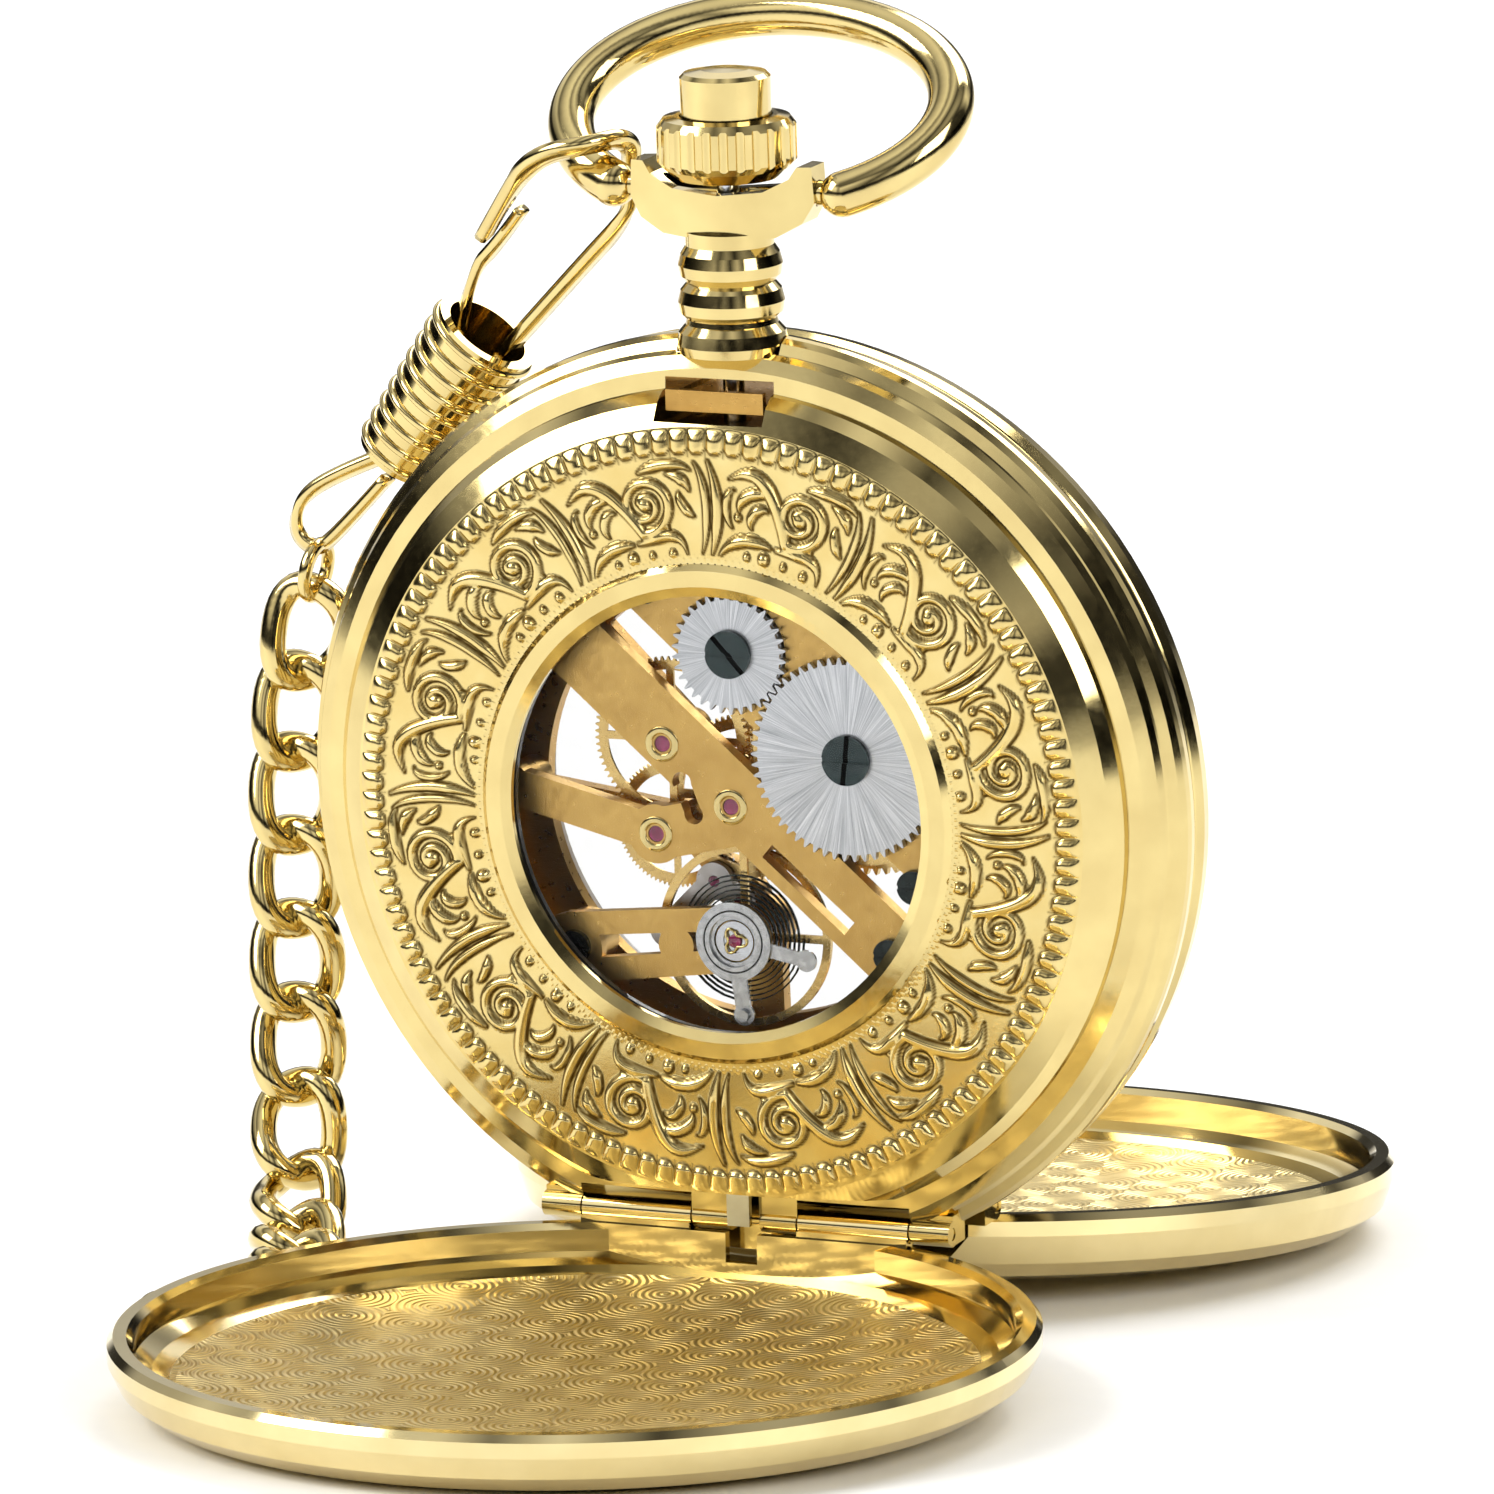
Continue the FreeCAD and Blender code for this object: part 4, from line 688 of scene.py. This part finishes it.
# ---------------------------------------------------------------- engraved ring
@dataclass
class EngravedRing:
    """Relief round the window: scroll panels, straps, bosses and a rim of gadroons."""

    inner: float = 12.45
    outer: float = 19.4
    columns: int = 1440
    rows: int = 68
    panels: int = 12
    lobes: int = 120
    ground: float = 4.58
    relief: float = 0.34
    mid: float = 15.45
    hinge_flat: float = 19.25
    catch_half: float = 2.95
    catch_foot: float = 19.35

    def strokes(self, flip: bool) -> list[tuple[np.ndarray, np.ndarray]]:
        """Draw one panel's ornament.

        Args:
            flip: whether it is the second, slightly finer kind of panel.

        Returns:
            Each stroke's points, in millimetres round and out from the panel's middle, and its half-widths.
        """
        made: list[tuple[np.ndarray, np.ndarray]] = []

        def add(points: list[tuple[float, float]], widths: list[float]) -> None:
            """Add a smooth leaf or strap through the points, with its half-widths along it."""
            line = np.array(points, float)
            grown = np.interp(np.linspace(0, 1, 18), np.linspace(0, 1, len(line)), widths)
            t = np.linspace(0, 1, len(line))
            s = np.linspace(0, 1, 18)
            power = min(3, len(line) - 1)
            smooth = np.stack([np.polyval(np.polyfit(t, line[:, k], power), s) for k in (0, 1)], -1)
            made.append((smooth, grown))

        turns = np.linspace(0, 1, 40)
        angle = 0.6 + turns * FULL_TURN * 1.7
        radius = 0.28 + 1.18 * turns
        centre = np.array([-0.9, 0.35])
        spiral = centre + np.stack([radius * np.cos(angle), radius * np.sin(angle)], -1)
        made.append((spiral, np.interp(turns, [0, 0.2, 1], [0.24, 0.19, 0.27])))
        made.append((centre[None] + np.array([[0, 0], [0.02, 0.02]]), np.array([0.36, 0.36])))
        tail = tuple(spiral[-1])
        add([tail, (0.9, 1.3), (1.9, 1.9), (2.9, 1.5)], [0.3, 0.36, 0.3, 0.06])
        add([(0.75, 0.9), (1.5, 1.0), (2.1, 0.6), (2.3, 0.0)], [0.1, 0.3, 0.28, 0.08])
        add([(0.8, 0.25), (1.3, 0.2), (1.6, -0.3), (1.5, -0.8)], [0.08, 0.26, 0.24, 0.06])
        add([(-3.4, 1.9), (-2.6, 2.2), (-1.6, 2.15), (-0.9, 1.95)], [0.06, 0.25, 0.27, 0.08])
        add([(-3.3, 0.9), (-3.0, 1.4), (-2.6, 1.65), (-2.2, 1.75)], [0.08, 0.28, 0.22, 0.06])
        add([(-3.5, -0.4), (-3.1, -0.1), (-2.8, 0.4), (-2.75, 0.8)], [0.06, 0.26, 0.22, 0.06])
        add([(-2.9, -2.3), (-2.3, -1.4), (-1.2, -1.35), (0.0, -1.5)], [0.06, 0.26, 0.3, 0.1])
        add([(0.3, -1.5), (1.2, -1.4), (2.3, -1.6), (3.3, -2.4)], [0.1, 0.3, 0.32, 0.08])
        add([(3.75, -2.35), (3.45, -1.0), (3.5, 0.6), (3.95, 2.3)], [0.08, 0.3, 0.26, 0.08])
        add([(4.35, -2.3), (4.05, -0.8), (4.15, 0.9), (4.6, 2.2)], [0.06, 0.22, 0.2, 0.06])
        add([(2.6, -0.9), (2.95, -0.2), (2.95, 0.6), (2.6, 1.0)], [0.06, 0.2, 0.2, 0.06])
        for x, y, w in ((0.55, -2.15, 0.34), (-0.7, -2.2, 0.2), (1.6, -2.25, 0.2), (-2.0, -2.25, 0.24),
                        (2.3, -0.35, 0.2), (-1.9, -0.9, 0.16)):
            made.append((np.array([[x, y], [x + 0.02, y]]), np.array([w, w])))
        if flip:
            made = [(line + np.array([0.12, -0.08]), wide * 0.94) for line, wide in made]
        return made

    def panel(self, flip: bool) -> tuple[np.ndarray, np.ndarray]:
        """Work out one panel's relief over its own part of the grid.

        Args:
            flip: whether it is the second kind of panel.

        Returns:
            Height and painted shade, each from 0 to 1, round by out.
        """
        per = self.columns // self.panels
        r = np.linspace(self.inner, self.outer, self.rows)
        step = FULL_TURN / self.columns
        u = (np.arange(per) - per / 2) * step
        uu, rr = np.meshgrid(u, r, indexing="ij")
        pitch = FULL_TURN / self.panels * self.mid
        height = np.zeros_like(uu)
        gap = np.full_like(uu, 9.0)
        for shift in (-pitch, 0.0, pitch):
            x, y = uu * self.mid + shift, rr - self.mid
            for line, wide in self.strokes(flip if shift == 0 else not flip):
                if line[:, 0].max() + 0.6 < x.min() or line[:, 0].min() - 0.6 > x.max():
                    continue
                ratio, edge = self.nearest(x, y, line, wide)
                crown = np.sqrt(np.clip(1 - ratio ** 2, 0, 1))
                height = np.maximum(height, crown * np.minimum(1, edge[1] * 3.2))
                gap = np.minimum(gap, edge[0])
        zone = (rr > 13.05) & (rr < 17.85)
        # Painted shade: a dark band along the outline of every raised stroke, where the relief meets the
        # ground.
        dark_marks = np.exp(-((np.abs(gap) - 0.02) / 0.055) ** 2) * zone
        dots = np.cos(uu * self.mid * 14) * np.cos(rr * 14)
        stipple = np.where((rr > 12.5) & (rr < 13.0), 0.12 * np.clip(dots, 0, 1), 0.0)
        return np.where(zone, height, 0) + stipple, dark_marks

    @staticmethod
    def nearest(x: np.ndarray, y: np.ndarray, line: np.ndarray, wide: np.ndarray) -> tuple[np.ndarray, tuple]:
        """Measure every place of the grid from one stroke.

        Args:
            x: places round.
            y: places out.
            line: the stroke's points.
            wide: its half-widths.

        Returns:
            Distance over half-width, and the pair of signed gap and half-width, at the nearest point.
        """
        best = np.full_like(x, 9.0)
        gap = np.full_like(x, 9.0)
        width = np.full_like(x, 0.1)
        for (x0, y0), (x1, y1), w0, w1 in zip(line, line[1:], wide, wide[1:]):
            dx, dy = x1 - x0, y1 - y0
            t = np.clip(((x - x0) * dx + (y - y0) * dy) / max(dx * dx + dy * dy, 1e-9), 0, 1)
            far = np.hypot(x - x0 - t * dx, y - y0 - t * dy)
            w = w0 + (w1 - w0) * t
            closer = far - w < gap
            gap = np.where(closer, far - w, gap)
            best = np.where(closer, far / w, best)
            width = np.where(closer, w, width)
        return best, (gap, width)

    def gadroons(self) -> tuple[np.ndarray, np.ndarray]:
        """Work out the rim of lobes over the whole grid.

        Returns:
            Height and painted shade, each from 0 to 1, round by out.
        """
        r = np.linspace(self.inner, self.outer, self.rows)
        theta = np.arange(self.columns) / self.columns * self.lobes
        s = (theta % 1.0 - 0.5)[:, None]
        t = ((r - 18.05) / 1.05)[None, :]
        side = np.sqrt(np.clip(1 - (s / 0.44) ** 2, 0, 1))
        start = 0.32 * (1 - side)
        body = np.clip((t - start) / 0.22, 0, 1) * np.clip((1.12 - t) / 0.4, 0, 1)
        height = side * np.sqrt(body) * ((t > 0) & (t < 1.12))
        near = (t > -0.12) & (t < 0.95)
        # Painted shade between the lobes and along their foot.
        dark_marks = np.exp(-((np.abs(s) - 0.47) / 0.035) ** 2) * near
        dark_marks = dark_marks + np.exp(-((t - start + 0.03) / 0.07) ** 2) * near
        return height * 0.8, np.clip(dark_marks, 0, 1)

    def build(self, finishes: Finishes) -> bpy.types.Object:
        """Build the ring, with the painted shade of its creases as a vertex attribute.

        Args:
            finishes: the finishes already built.

        Returns:
            The ring.
        """
        pieces = [self.panel(bool(k % 2)) for k in range(2)]
        height = np.concatenate([pieces[k % 2][0] for k in range(self.panels)])
        dark_marks = np.concatenate([pieces[k % 2][1] for k in range(self.panels)])
        rim, rim_shade = self.gadroons()
        height, dark_marks = np.maximum(height, rim), np.maximum(dark_marks, rim_shade)
        r = np.linspace(self.inner, self.outer, self.rows)
        fall = np.interp(r, [12.45, 12.6, 18.0, 19.4], [0.05, 0.0, 0.0, -0.13])
        bm = bmesh.new()
        bmesh.ops.create_grid(bm, x_segments=self.columns, y_segments=self.rows - 1, size=1.0)
        bm.verts.ensure_lookup_table()
        # This attribute carries the painted shade of the outlines and creases to the material.
        layer = bm.verts.layers.float.new("dark_marks")
        for vert in bm.verts:
            i = int(round((vert.co.x + 1) / 2 * self.columns))
            j = int(round((vert.co.y + 1) / 2 * (self.rows - 1)))
            angle = FULL_TURN * i / self.columns
            k = i % self.columns
            vert.co = (r[j] * math.cos(angle), r[j] * math.sin(angle),
                       self.ground + fall[j] + self.relief * float(height[k, j]))
            vert[layer] = float(dark_marks[k, j])
        middles = [(face, face.calc_center_median()) for face in bm.faces]
        cut = [face for face, at in middles if at.y < -self.hinge_flat or (
            abs(at.x) < self.catch_half and at.y > self.catch_foot)]
        bmesh.ops.delete(bm, geom=cut, context="FACES")
        obj = finish_mesh(bm, "engraved_relief", WATCH)
        up = Vector((0, -math.sin(CASE_TURN), math.cos(CASE_TURN)))
        if obj.data.polygons[0].normal.dot(up) < 0:
            obj.data.flip_normals()
        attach(obj, "case")
        finishes.wear(obj, "engraved_gold")
        return obj


# ---------------------------------------------------------------- chain and clip
@dataclass
class FobChain:
    """Curb chain hanging from the clip and lying behind the open cover."""

    route: tuple[tuple[float, float, float], ...] = (
        (-25.9, 2.4, 34.6), (-27.7, 3.7, 29.5), (-28.1, 4.3, 18.0), (-28.0, 4.2, 7.2), (-25.8, -0.8, 2.2),
        (-21.9, -9.2, 2.05))
    pitch: float = 4.65
    half_width: float = 1.80
    half_length: float = 2.56
    wire: float = 0.69
    twist: float = 1.3
    squareness: float = 2.3
    past_end: float = 0.3
    across: Vector = field(default_factory=lambda: Vector((0.905, 0.395, 0.0)))

    def build(self, finishes: Finishes) -> bpy.types.Object:
        """Args:
            finishes: the finishes already built.

        Returns:
            The chain.
        """
        line = curve_points([tuple(c * MM for c in p) for p in self.route], "chain_route", 24) / MM
        steps = np.linalg.norm(np.diff(line, axis=0), axis=1)
        along = np.concatenate([[0], np.cumsum(steps)])
        total = float(along[-1])
        bm = bmesh.new()
        count = int(total / self.pitch) + 1
        gap = (total - 2 * (self.half_length - self.past_end)) / (count - 1)
        for i in range(count):
            self.link(bm, line, along, self.half_length - self.past_end + i * gap)
        obj = finish_mesh(bm, "fob_chain", GROUND)
        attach(obj, "case")
        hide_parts("chain")
        finishes.wear(obj, "gold_polished")
        LOG.info("chain of %d links, %.1f mm", count, total)
        return obj

    def link(self, bm: bmesh.types.BMesh, line: np.ndarray, along: np.ndarray, at: float) -> None:
        """Add one twisted link.

        Args:
            bm: the chain so far.
            line: points of the route.
            along: each point's distance along the route.
            at: distance of the link's middle along the route.
        """
        def point(s: float) -> Vector:
            """The route's point at a distance along it."""
            return Vector([float(np.interp(s, along, line[:, k])) for k in range(3)])

        here = point(at)
        ahead, behind = point(at + 1.5), point(at - 1.5)
        tangent = (ahead - behind).normalized()
        side = (self.across - tangent * self.across.dot(tangent)).normalized()
        face = side.cross(tangent)
        loop = []
        for i in range(40):
            t = FULL_TURN * i / 40
            x, y = math.cos(t), math.sin(t)
            square = (abs(x) ** self.squareness + abs(y) ** self.squareness) ** (-1 / self.squareness)
            u, v = x * square * self.half_width, y * square * self.half_length
            w = self.twist * x * y * square * square
            loop.append(here + side * u + tangent * v + face * w)
        part = sweep(np.array([p[:] for p in loop]), round_section(self.wire, 12), face, True)
        copy = bpy.data.meshes.new("link")
        part.to_mesh(copy)
        part.free()
        bm.from_mesh(copy)
        bpy.data.meshes.remove(copy)


@dataclass
class Clip:
    """Spring hook of flat wire, its eye, its gate and the jump ring; the ribbed sleeve that slides on it
    stays the frame's own.
    """

    hook: tuple[tuple[float, float, float], ...] = (
        (-13.9, 27.4, -0.6), (-11.9, 30.0, 0.5), (-9.6, 32.1, 2.2), (-6.9, 32.7, 2.2), (-5.8, 32.75, -0.7),
        (-6.4, 30.2, -1.75), (-6.9, 28.3, -2.4), (-10.1, 25.3, -3.3), (-15.2, 20.3, -4.55))
    gate: tuple[tuple[float, float, float], ...] = (
        (-17.0, 21.9, -4.1), (-15.7, 25.0, -2.7), (-13.5, 27.05, -1.9), (-12.2, 28.6, -1.5))
    loop: tuple[tuple[float, float, float], ...] = (
        (-21.9, 15.0, -5.0), (-24.4, 14.0, -5.1), (-26.7, 12.6, -5.2), (-27.2, 10.8, -5.2),
        (-26.0, 9.8, -5.2), (-24.5, 11.0, -5.2), (-21.7, 13.9, -5.0))
    ring_at: tuple[float, float, float] = (-25.9, 8.9, -5.0)

    def strap(self, points: tuple, name: str, half: float) -> bpy.types.Object:
        """Build a flat strap along a smooth line.

        Args:
            points: control points in the watch's frame.
            name: name of the strap.
            half: half of its width, in millimetres.

        Returns:
            The strap.
        """
        line = curve_points(list(points), name + "_line", 14)
        corners = ((-1, -0.6), (-0.75, -1), (0.75, -1), (1, -0.6), (1, 0.6), (0.75, 1), (-0.75, 1), (-1, 0.6))
        section = [(half * x, 0.55 * half * y) for x, y in corners]
        bm = sweep(line, section, Vector((0.5, 0.6, 0.62)))
        obj = finish_mesh(bm, name, WATCH)
        return obj

    def build(self, finishes: Finishes) -> list[bpy.types.Object]:
        """Build the clip's hook, eye, gate and jump ring.

        Args:
            finishes: the finishes already built.

        Returns:
            The four pieces.
        """
        hook = self.strap(self.hook, "clip_hook_strap", 0.6)
        eye = self.strap(self.loop, "clip_eye_wire", 0.5)
        gate = self.strap(self.gate, "clip_gate_strap", 0.48)
        ring = self.jump_ring()
        for obj in (hook, eye, ring):
            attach(obj, "case")
            finishes.wear(obj, "gold_polished")
        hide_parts("clip_hook")
        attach(gate, "gate")
        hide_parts("clip_gate")
        finishes.wear(gate, "gold_polished")
        return [hook, eye, gate, ring]

    def jump_ring(self) -> bpy.types.Object:
        """Build the small ring that joins the eye to the chain's first link.

        Returns:
            The ring.
        """
        loop = [Vector(self.ring_at) + Vector((0.25 * math.cos(t), 1.35 * math.cos(t), 1.35 * math.sin(t)))
                for t in (FULL_TURN * i / 36 for i in range(36))]
        bm = sweep(np.array([p[:] for p in loop]), round_section(0.36, 10), Vector((1, 0, 0)), True)
        obj = finish_mesh(bm, "jump_ring", WATCH)
        return obj


@dataclass
class Hairspring:
    """The flat spiral over the balance."""

    height: float = 2.03
    inner: float = 0.6
    outer: float = 3.3
    coils: int = 11
    steps: int = 36

    def build(self, finishes: Finishes) -> bpy.types.Object:
        """Build the spiral ribbon.

        Args:
            finishes: the finishes already built.

        Returns:
            The hairspring.
        """
        x, y = BALANCE_AT
        count = self.coils * self.steps
        line = []
        for i in range(count + 1):
            angle = FULL_TURN * i / self.steps
            radius = self.inner + (self.outer - self.inner) * i / count
            line.append((x + radius * math.cos(angle), y + radius * math.sin(angle), self.height))
        section = [(-0.09, -0.035), (-0.09, 0.035), (0.09, 0.035), (0.09, -0.035)]
        rings = sweep(np.array(line), section, Vector((0, 0, 1)))
        obj = finish_mesh(rings, "hairspring_coil", WATCH)
        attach(obj, "balance")
        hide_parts("hairspring")
        finishes.wear(obj, "steel_black")
        return obj


@dataclass
class JewelTrim:
    """Countersinks of the bridge's jewels, and the shock spring with its stone over the balance."""

    jewels: tuple[tuple[float, float], ...] = ((0.0, 0.0), (-3.59, 2.97), (-4.07, -1.62))
    bridge_top: float = 2.8

    def build(self, finishes: Finishes) -> list[bpy.types.Object]:
        """Build the countersinks, the lyre spring and its stone.

        Args:
            finishes: the finishes already built.

        Returns:
            The pieces.
        """
        pieces = []
        for k, (x, y) in enumerate(self.jewels):
            z = self.bridge_top
            bm = spin_ring([(0.50, z - 0.02), (0.53, z + 0.05), (0.62, z + 0.10), (0.74, z + 0.04),
                            (0.86, z + 0.07), (0.92, z - 0.02)], 64)
            bmesh.ops.translate(bm, verts=bm.verts, vec=(x, y, 0.0))
            pieces.append(finish_mesh(bm, "jewel_setting_%d" % k, WATCH))
        top = max(point.z for point in watch_points("regulator"))
        loop = []
        for i in range(96):
            angle = FULL_TURN * i / 96
            radius = 0.50 + 0.17 * math.cos(3 * angle)
            loop.append((BALANCE_AT[0] + radius * math.cos(angle), BALANCE_AT[1] + radius * math.sin(angle),
                         top + 0.02))
        lyre = sweep(np.array(loop), round_section(0.07, 8), Vector((0, 0, 1)), True)
        pieces.append(finish_mesh(lyre, "lyre_spring", WATCH))
        for piece in pieces:
            self.put(piece, finishes, "movement_gold", "gold_polished")
        stone = bmesh.new()
        bmesh.ops.create_uvsphere(stone, u_segments=32, v_segments=16, radius=0.34)
        bmesh.ops.scale(stone, verts=stone.verts, vec=(1.0, 1.0, 0.3))
        bmesh.ops.translate(stone, verts=stone.verts, vec=(*BALANCE_AT, top - 0.02))
        pieces.append(finish_mesh(stone, "balance_stone", WATCH))
        self.put(pieces[-1], finishes, "ruby", "ruby_stone")
        return pieces

    def put(self, obj: bpy.types.Object, finishes: Finishes, slot: str, finish: str) -> None:
        """Fix one piece to the case.

        Args:
            obj: the piece.
            finishes: the finishes already built.
            slot: not used.
            finish: name of its finish.
        """
        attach(obj, "case")
        finishes.wear(obj, finish)


def watch_points(name: str) -> list[Vector]:
    """Read a frame node in the watch's own frame.

    Args:
        name: the node.

    Returns:
        Its vertices, in millimetres.
    """
    back = WATCH.inverted()
    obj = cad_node(name)
    return [back @ (obj.matrix_world @ v.co) for v in obj.data.vertices]


# ---------------------------------------------------------------- stage
@dataclass
class Studio:
    """Pale floor, soft lights and the camera."""

    camera_at: tuple[float, float, float] = (0.261119, -0.601565, 0.134479)
    aim: tuple[float, float, float] = (0.00086, -0.004843, 0.029365)
    lens: float = 322.78
    roll: float = math.radians(-0.2154)
    shift: tuple[float, float] = (0.000435, 0.001673)
    up_bands: tuple[tuple[float, float], ...] = (
        (0.0, 0.9), (0.07, 0.05), (0.22, 0.04), (0.30, 0.9), (0.55, 1.2), (0.68, 0.15), (1.0, 1.1))
    side_bands: tuple[tuple[float, float], ...] = (
        (0.0, 0.06), (0.14, 0.9), (0.38, 1.1), (0.46, 0.25), (0.56, 0.95), (0.68, 0.05), (0.80, 0.9),
        (0.88, 0.03))

    def floor(self) -> None:
        """Lay a large pale floor."""
        bm = bmesh.new()
        bmesh.ops.create_grid(bm, x_segments=2, y_segments=2, size=20.0)
        obj = finish_mesh(bm, "studio_floor", Matrix.Identity(4))
        n = Nodes("floor_paper")
        grain = n.add("TexNoise", {"Vector": n.place(Vector(), 0.0), "Scale": 0.4}).outputs["Fac"]
        n.put(n.shader, "Base Color", n.ramp(grain, [(0.3, (0.93, 0.93, 0.925)), (0.7, (0.95, 0.95, 0.945))]))
        n.put(n.shader, "Roughness", 0.6)
        obj.data.materials.append(n.material)

    def light(self, name: str, at: tuple[float, float, float], size: float, power: float) -> None:
        """Hang a square soft light aimed at the watch.

        Args:
            name: name of the light.
            at: where it hangs, in metres.
            size: length of its side, in metres.
            power: its power, in watts.
        """
        data = bpy.data.lights.new(name, "AREA")
        data.size = size
        data.energy = power
        obj = bpy.data.objects.new(name, data)
        obj.location = at
        obj.rotation_mode = "QUATERNION"
        obj.rotation_quaternion = (Vector((0, 0, 0.03)) - Vector(at)).to_track_quat("-Z", "Y")
        bpy.context.scene.collection.objects.link(obj)

    @staticmethod
    def grey_ramp(tree: bpy.types.NodeTree, value: bpy.types.NodeSocket,
                  stops: tuple[tuple[float, float], ...]) -> bpy.types.NodeSocket:
        """Turn a value into brightness by a ramp.

        Args:
            tree: the node tree.
            value: the value from 0 to 1.
            stops: place and brightness of each stop.

        Returns:
            The brightness, as a grey.
        """
        ramp = tree.nodes.new("ShaderNodeValToRGB")
        tree.links.new(value, ramp.inputs[0])
        while len(ramp.color_ramp.elements) < len(stops):
            ramp.color_ramp.elements.new(0.5)
        for element, (at, brightness) in zip(ramp.color_ramp.elements, stops):
            element.position = at
            element.color = (brightness, brightness, brightness, 1.0)
        return ramp.outputs[0]

    def surround(self) -> None:
        """Set up a soft room, bright with a few dark bands for the metal to show."""
        world = bpy.data.worlds.new("studio_room")
        world.use_nodes = True
        tree = world.node_tree
        coords = tree.nodes.new("ShaderNodeTexCoord")
        split = tree.nodes.new("ShaderNodeSeparateXYZ")
        tree.links.new(coords.outputs["Generated"], split.inputs[0])
        across = tree.nodes.new("ShaderNodeMath")
        across.operation = "MULTIPLY_ADD"
        tree.links.new(split.outputs["X"], across.inputs[0])
        across.inputs[1].default_value = 0.5
        across.inputs[2].default_value = 0.5
        both = tree.nodes.new("ShaderNodeMix")
        both.data_type, both.blend_type = "RGBA", "MULTIPLY"
        both.inputs[0].default_value = 1.0
        tree.links.new(self.grey_ramp(tree, split.outputs["Z"], self.up_bands), both.inputs[6])
        tree.links.new(self.grey_ramp(tree, across.outputs[0], self.side_bands), both.inputs[7])
        tree.links.new(both.outputs[2], tree.nodes["Background"].inputs["Color"])
        tree.nodes["Background"].inputs["Strength"].default_value = 1.0
        bpy.context.scene.world = world

    def camera(self) -> None:
        """Set up the camera."""
        data = bpy.data.cameras.new("view")
        data.sensor_width = 36.0
        data.lens = self.lens
        data.shift_x, data.shift_y = self.shift
        data.clip_start, data.clip_end = 0.01, 100.0
        obj = bpy.data.objects.new("view", data)
        obj.location = self.camera_at
        back = Vector(self.camera_at) - Vector(self.aim)
        obj.rotation_mode = "QUATERNION"
        turn = (-back).to_track_quat("-Z", "Y")
        obj.rotation_quaternion = turn @ Matrix.Rotation(self.roll, 4, "Z").to_quaternion()
        bpy.context.scene.collection.objects.link(obj)
        bpy.context.scene.camera = obj

    def build(self) -> None:
        """Build the whole stage."""
        self.floor()
        self.light("key_left", (-0.7, -0.5, 0.7), 0.6, 9.0)
        self.light("fill_right", (0.8, -0.3, 0.5), 0.5, 4.0)
        self.light("top_back", (0.1, 0.7, 0.8), 0.7, 8.0)
        self.surround()
        self.camera()
        bpy.context.scene.view_settings.view_transform = "Standard"


def main() -> None:
    """Build the finishes, the stage and every new piece in order."""
    logging.basicConfig(level=logging.INFO, format="%(name)s %(message)s")
    finishes = Finishes()
    finishes.build()
    LOG.info("%d finishes on %d frame nodes", len(finishes.made), len(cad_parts))
    Studio().build()
    LOG.info("stage")
    FobChain().build(finishes)
    for piece in Clip().build(finishes):
        LOG.info(piece.name)
    ring = EngravedRing().build(finishes)
    LOG.info("%s of %d faces", ring.name, len(ring.data.polygons))
    LOG.info(Hairspring().build(finishes).name)
    for piece in JewelTrim().build(finishes):
        LOG.info(piece.name)


if __name__ == "__main__":
    main()
